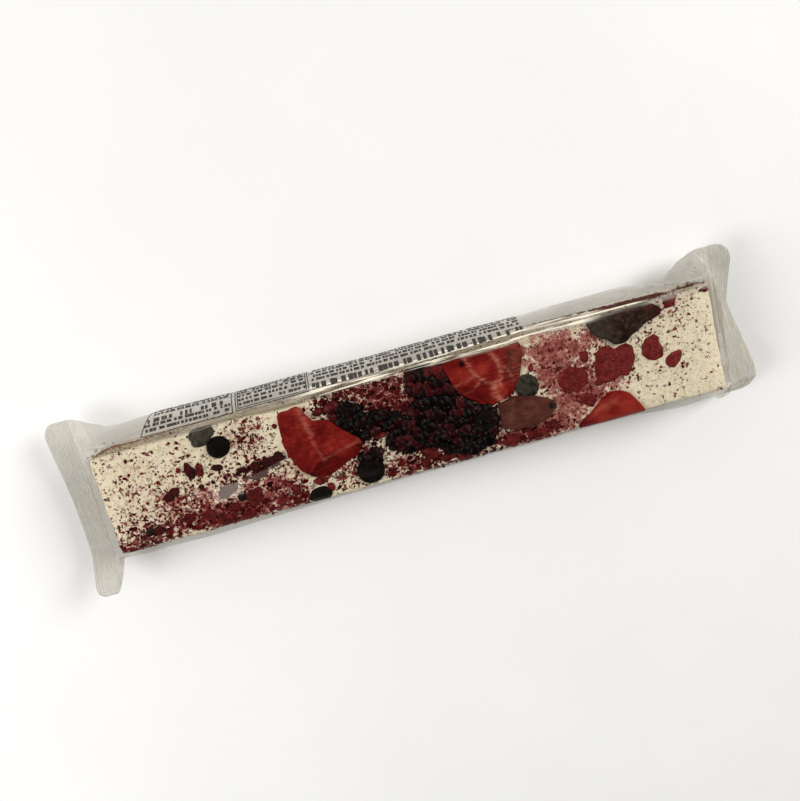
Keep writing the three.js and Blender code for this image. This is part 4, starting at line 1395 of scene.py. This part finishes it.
film_crimp = in_seal * (0.5 + 0.5 * np.cos(rib_turns)) * np.where(film_along < 0, 1, RIGHT_CRIMP_SHARE)
in_fold = band(film_span, *PRINTED_FOLD) * (film_beyond < 0)
# Painted highlight and shade along the printed fold: light lines strongest in the middle, brown shade lines
# strongest at the left where the shadowed nougat side shows through.
fold_highlight = in_fold * (FOLD_HIGHLIGHT_LEAST + (1 - FOLD_HIGHLIGHT_LEAST) * band(film_along, -38, -24, 58, 66))
fold_shade = in_fold * (FOLD_SHADE_LEAST + FOLD_SHADE_LEFT * (1 - ease(film_along, -46, -30)))
along_fold = ease(film_along, 56, 68) + 0.4 * ease(film_along, 40, 50) + hump(film_along + 91, 7) + 0.1
fold_crumbs = FOLD_CRUMB_AMOUNT * in_fold * along_fold
fold_crumbs += BELOW_FOLD_AMOUNT * band(film_span, *BELOW_PRINTED_FOLD) * ease(film_along, 48, 66)
fold_crumbs = fold_crumbs * (film_beyond < -1)


def off_line(line):
    """How far each place on the film is from a line along it, and how strong the line is there."""
    places, spans, amounts = np.array(line).T
    away = film_span - np.interp(film_x, places, spans)[:, None]
    return away, np.interp(film_x, places, amounts, left=-1, right=-1)[:, None] + 0 * film_span


left_dirt, right_dirt = [off_line(line) for line in DIRT_LINES]
dirt_away, dirt_amount = [np.where(film_along < 0, *pair) for pair in zip(left_dirt, right_dirt)]
crease_away, crease_amount = off_line(HIGHLIGHT_CREASE)
fold_crumbs = np.clip(fold_crumbs + np.maximum(0, dirt_amount) * hump(dirt_away, 0.5), 0, 1)
# Painted highlight: light lines across the film's end slopes, weaker at the left end.
end_fold_highlight = END_FOLD_HIGHLIGHT * ease(film_beyond, -0.5, 1) * np.where(film_along > 0, 1, LEFT_END_SHARE)
film_dull = np.maximum(ease(film_beyond, -7, -2.5), PLAIN_FOLD_DULL * band(-film_span, *PLAIN_FOLD))
film_values = {
    "haze": film_haze, "crimp": film_crimp, "dull": film_dull,
    "fold_crumbs": fold_crumbs, "fold_highlight": fold_highlight, "fold_shade": fold_shade, "dirt_away": dirt_away,
    "dirt_amount": dirt_amount, "crease_away": crease_away, "crease_amount": np.maximum(0, crease_amount),
    "end_fold_highlight": end_fold_highlight,
}
film = new_piece("clear_film", film_points, film_faces, film_finish(),
                 {label: values.ravel()[film_used] for label, values in film_values.items()})
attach(film, "root")
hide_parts("sealed_pack")

# The loose crumbs. Fruit that fell from the top of the bar when the film was drawn round it, and stayed in
# the fold along the printed side.
FOLD_CRUMBS = ("fold_crumbs", 0.25, 1.4, 4.0, 1.2, 24)

loose_crumbs = sprinkled("loose_crumbs", film, crumb_skin, FOLD_CRUMBS, sunk=0.3)
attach(loose_crumbs, "root")

# The print. Thin dark ink on the film's side: two boxes and a panel of small rows, all of plain dashes and
# lines. It is laid out flat, along the bar and round the film, and then wrapped onto the film.
INK_THICKNESS = 0.04
INK_GAP = 0.05
INK_COLOUR = (30, 24, 20)
INK_WORN = (52, 44, 38)
LINE_WIDTH = 0.28
# Each box: its two ends along the bar, its edges round the film, how far its left end leans, and its lines.
PRINT_BOXES = [(-82, -52.6, 18.9, 34, -5.5, 1), (-51.4, -28, 19.1, 34, 0, 2)]
# Each block of rows: its ends along the bar, its first row round the film, how many rows, their pitch, a
# dash's height and length, how much of that length is ink, and a seed.
PRINT_ROWS = [
    (-80, -53.5, 20.6, 2, 1.7, 1.15, 1.1, 1.0, 41), (-79, -56, 24.0, 1, 2.0, 1.9, 1.3, 0.8, 42),
    (-77, -54, 26.6, 4, 1.7, 1.15, 1.1, 1.0, 43), (-50, -29.5, 21.2, 7, 1.75, 1.15, 1.1, 1.0, 44),
    (-27, 40.5, 20.4, 1, 2.0, 2.6, 1.9, 0.8, 45), (-26, 40, 23.1, 6, 1.65, 1.15, 1.05, 1.0, 46),
]
BOX_LINE_GAP = 0.7


def printed_rows_tree(material):
    tree, start, end = geometry_tree("printed rows", [
        "Width", "Rows", "Pitch", "Dash Height", "Dash Length", "Fill", "Ink Thickness", "Seed"])
    dashes = sums(tree, "DIVIDE", start["Width"], start["Dash Length"])
    depth = times(tree, sums(tree, "SUBTRACT", start["Rows"], 1.0), start["Pitch"])
    places = add_node(tree, "GeometryNodeMeshGrid", {
        "Size X": start["Width"], "Size Y": depth, "Vertices X": dashes, "Vertices Y": start["Rows"]})
    aside = times(tree, start["Dash Length"], random_between(tree, -0.35, 0.35, start["Seed"]))
    loose = add_node(tree, "GeometryNodeSetPosition", {
        "Geometry": places.outputs["Mesh"], "Offset": of_three(tree, aside, 0.0, 0.0)})
    chance = {"Probability": 0.92, "Seed": start["Seed"]}
    kept = add_node(tree, "FunctionNodeRandomValue", chance, data_type="BOOLEAN")
    dash = add_node(tree, "GeometryNodeMeshCube", {
        "Size": (1, 1, 1), "Vertices X": 4, "Vertices Y": 2, "Vertices Z": 2})
    filled = times(tree, start["Dash Length"], start["Fill"])
    length = times(tree, filled, random_between(tree, 0.6, 1.0, 8))
    height = times(tree, start["Dash Height"], random_between(tree, 0.8, 1.0, start["Seed"]))
    laid = add_node(tree, "GeometryNodeInstanceOnPoints", {
        "Points": loose.outputs["Geometry"], "Selection": kept.outputs[3], "Instance": dash.outputs["Mesh"],
        "Scale": of_three(tree, length, height, start["Ink Thickness"])})
    whole = add_node(tree, "GeometryNodeRealizeInstances", {"Geometry": laid.outputs["Instances"]})
    return end_tree(tree, end, whole.outputs["Geometry"], material)


def on_film(x, span, out):
    """Points of the film at places along the bar and round the film, moved out from it a little."""
    station = np.clip(np.searchsorted(film_x, x) - 1, 0, film_x.size - 2)
    share = (x - film_x[station]) / (film_x[station + 1] - film_x[station])
    points = np.zeros((x.size, 3))
    for first in np.unique(station):
        here = station == first
        for ring, weight in ((first, 1 - share[here]), (first + 1, share[here])):
            order = np.argsort(film_span[ring])
            for axis in range(3):
                place = np.interp(span[here], film_span[ring, order], film_grid[ring, order, axis])
                outward = np.interp(span[here], film_span[ring, order], film_outward[ring, order, axis])
                points[here, axis] += weight * (place + out[here] * outward)
    return points


def ink_line(x_ends, span_ends):
    """A thin line of ink with square ends, flat along the film."""
    (x0, x1), (s0, s1) = x_ends, span_ends
    length = math.hypot(x1 - x0, s1 - s0)
    steps = max(2, int(length) + 1)
    along = np.array([x1 - x0, s1 - s0]) / length
    aside = np.array([-along[1], along[0]]) * LINE_WIDTH / 2
    centre = np.array([x0, s0]) + np.linspace(0, length, steps)[:, None] * along
    corners = []
    for sign, height in ((1, 0), (-1, 0), (-1, INK_THICKNESS), (1, INK_THICKNESS)):
        corners.append(np.column_stack([centre + sign * aside, np.full(steps, height)]))
    points = np.stack(corners, axis=1).reshape(-1, 3)
    faces = [[3, 2, 1, 0], [steps * 4 - 4, steps * 4 - 3, steps * 4 - 2, steps * 4 - 1]]
    for step in range(steps - 1):
        for side in range(4):
            a, b = step * 4 + side, step * 4 + (side + 1) % 4
            faces.append([a, b, b + 4, a + 4])
    return points, faces


def ink_finish():
    material, tree, shader = new_finish("flat dark ink")
    worn = ramp(tree, mottle(tree, 1.2, detail=4), [(0.4, INK_COLOUR), (0.7, INK_WORN)])
    tree.links.new(worn, shader.inputs["Base Color"])
    shader.inputs["Roughness"].default_value = 0.55
    return material


film_outward = ring_normals(film_grid)
ink = ink_finish()
ink_solids = []
rows_tree = printed_rows_tree(ink)
for x0, x1, first_span, row_count, pitch, dash_height, dash_length, fill, seed in PRINT_ROWS:
    carrier = new_piece("flat_print", [(0, 0, 0)], [], ink)
    rows = grown("flat_rows", carrier, rows_tree, {
        "Width": (x1 - x0) * MM, "Rows": row_count, "Pitch": pitch * MM, "Dash Height": dash_height * MM,
        "Dash Length": dash_length * MM, "Fill": fill, "Ink Thickness": INK_THICKNESS * MM, "Seed": seed})
    flat = np.array([vertex.co for vertex in rows.data.vertices]) / MM
    flat += [(x0 + x1) / 2, first_span + (row_count - 1) * pitch / 2, INK_THICKNESS / 2]
    ink_solids.append((flat, [list(face.vertices) for face in rows.data.polygons]))
    bpy.data.objects.remove(rows)
    bpy.data.objects.remove(carrier)
for x0, x1, s0, s1, lean, lines in PRINT_BOXES:
    for line in range(lines):
        inset = BOX_LINE_GAP * line
        low, high = s0 + inset, s1 - inset
        left, right = x0 + inset, x1 - inset
        for ends in (((left, right), (low, low)), ((left - lean, right), (high, high)),
                     ((right, right), (low, high)), ((left, left - lean), (low, high))):
            ink_solids.append(ink_line(*ends))
ink_flat, ink_faces = joined(ink_solids)
ink_points = on_film(ink_flat[:, 0], ink_flat[:, 1], INK_GAP + ink_flat[:, 2])
print_ink = new_piece("side_print", ink_points, ink_faces, ink)
print_ink.data.shade_flat()
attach(print_ink, "root")

# The studio. A plain pale floor, a soft lamp beyond each end of the bar, a bright horizon with a dark
# ceiling so that the fruit keeps its depth under the film, and panels that the film mirrors.
FLOOR_SIDE = 6000
FLOOR_DROP = 0.2
FLOOR_COLOUR = (240, 239, 237)
# Each lamp: its place, its width, and how strongly it lights the bar's middle.
LAMPS = {"right_lamp": ((960, 360, 720), 600, 2.6), "left_lamp": ((-560, 0, 420), 380, 1.95)}
HORIZON_STRENGTH = 0.9
# How bright the sky is, 0 to 255, from the horizon up to the ceiling.
SKY_TONES = [(0.0, 255), (0.5, 240), (0.8, 80), (0.95, 36)]
LEFT_GLOW = 0.3
PLAIN_SIDE_GLOW = 0.25
# Each panel: where it shows on the film, along the bar and round it, its size, how bright and how far off.
PANELS = [(-61.3, -4.7, 9.5, 4.0, 2.3, 80), (-51.5, -2.8, 10, 2.0, 0.8, 80)]
PANEL_COLOUR = (1.0, 0.93, 0.82)
CAMERA_PLACE = (-3.07, 59.74, 262.07)
CAMERA_AIM = (-1.8, 8.55, 18.9)
CAMERA_ROLL = 15.02
SENSOR_WIDTH = 36
FOCAL_LENGTH = 36


def floor_finish():
    material, tree, shader = new_finish("plain pale floor")
    low = [channel - 3 for channel in FLOOR_COLOUR]
    colour = ramp(tree, mottle(tree, 60), [(0.3, low), (0.7, FLOOR_COLOUR)])
    tree.links.new(colour, shader.inputs["Base Color"])
    shader.inputs["Roughness"].default_value = 0.8
    return material


def mirrored_panel(number, x, span, length, width, brightness, far):
    """A small soft panel placed where the film mirrors it to the camera at one spot."""
    spot, along, aside = on_film(np.array([x, x + 2, x]), np.array([span, span, span + 2]), np.zeros(3))
    outward = np.cross(along - spot, aside - spot)
    outward /= np.linalg.norm(outward)
    to_camera = np.array(CAMERA_PLACE) - spot
    distance = np.linalg.norm(to_camera)
    to_camera /= distance
    away = Vector(2 * np.dot(to_camera, outward) * outward - to_camera)
    growth = 1 + far / distance
    lamp = bpy.data.lights.new(f"panel_{number}", "AREA")
    lamp.shape = "RECTANGLE"
    lamp.size = length * growth * MM
    lamp.size_y = width * growth * MM
    lamp.energy = brightness * math.pi * lamp.size * lamp.size_y
    lamp.color = PANEL_COLOUR
    panel = bpy.data.objects.new(lamp.name, lamp)
    level_way = (Vector((1, 0, 0)) - away * away.x).normalized()
    facing = Matrix((level_way, away.cross(level_way), away)).transposed().to_4x4()
    facing.translation = (Vector(spot) + away * far) * MM
    panel.matrix_world = facing
    panel.visible_camera = False
    bpy.context.scene.collection.objects.link(panel)


floor_corners = [
    (way_x * FLOOR_SIDE / 2, way_y * FLOOR_SIDE / 2, -FLOOR_DROP)
    for way_x, way_y in ((-1, -1), (1, -1), (1, 1), (-1, 1))
]
floor = new_piece("floor", floor_corners, [[0, 1, 2, 3]], floor_finish())

for lamp_name, (lamp_place, lamp_width, lamp_strength) in LAMPS.items():
    lamp = bpy.data.lights.new(lamp_name, "AREA")
    lamp.shape = "DISK"
    lamp.size = lamp_width * MM
    holder = bpy.data.objects.new(lamp_name, lamp)
    holder.location = Vector(lamp_place) * MM
    holder.rotation_euler = Vector(lamp_place).to_track_quat("Z", "Y").to_euler()
    holder.visible_camera = False
    lamp.energy = lamp_strength * math.pi * holder.location.length_squared
    bpy.context.scene.collection.objects.link(holder)
for number, panel_values in enumerate(PANELS):
    mirrored_panel(number, *panel_values)

world = bpy.data.worlds.new("studio")
world.use_nodes = True
sky = world.node_tree
sky.nodes.clear()
way = add_node(sky, "ShaderNodeTexCoord").outputs["Generated"]
ways = add_node(sky, "ShaderNodeSeparateXYZ", {"Vector": way}).outputs
printed_side = level(sky, ways["Y"], -0.5, 0.3)
printed_glow = (1 - PLAIN_SIDE_GLOW) * HORIZON_STRENGTH
strength = plus(sky, PLAIN_SIDE_GLOW * HORIZON_STRENGTH, printed_side, printed_glow)
strength = plus(sky, strength, level(sky, ways["X"], 0.2, -0.7), LEFT_GLOW)
glow = ramp(sky, ways["Z"], [(up, (grey, grey, grey)) for up, grey in SKY_TONES])
backdrop = add_node(sky, "ShaderNodeBackground", {"Color": glow, "Strength": strength})
sky_output = add_node(sky, "ShaderNodeOutputWorld")
sky.links.new(backdrop.outputs[0], sky_output.inputs["Surface"])
bpy.context.scene.world = world
bpy.context.scene.view_settings.view_transform = "Standard"

camera_data = bpy.data.cameras.new("camera")
camera_data.sensor_fit = "HORIZONTAL"
camera_data.sensor_width = SENSOR_WIDTH
camera_data.lens = FOCAL_LENGTH
camera_data.clip_start = 0.01
camera = bpy.data.objects.new("camera", camera_data)
place = Vector(CAMERA_PLACE) * MM
forward = (Vector(CAMERA_AIM) * MM - place).normalized()
roll = math.radians(CAMERA_ROLL)
right = forward.cross(Vector((math.sin(roll), math.cos(roll), 0))).normalized()
pose = Matrix((right, right.cross(forward), -forward)).transposed().to_4x4()
pose.translation = place
camera.matrix_world = pose
bpy.context.scene.collection.objects.link(camera)
bpy.context.scene.camera = camera
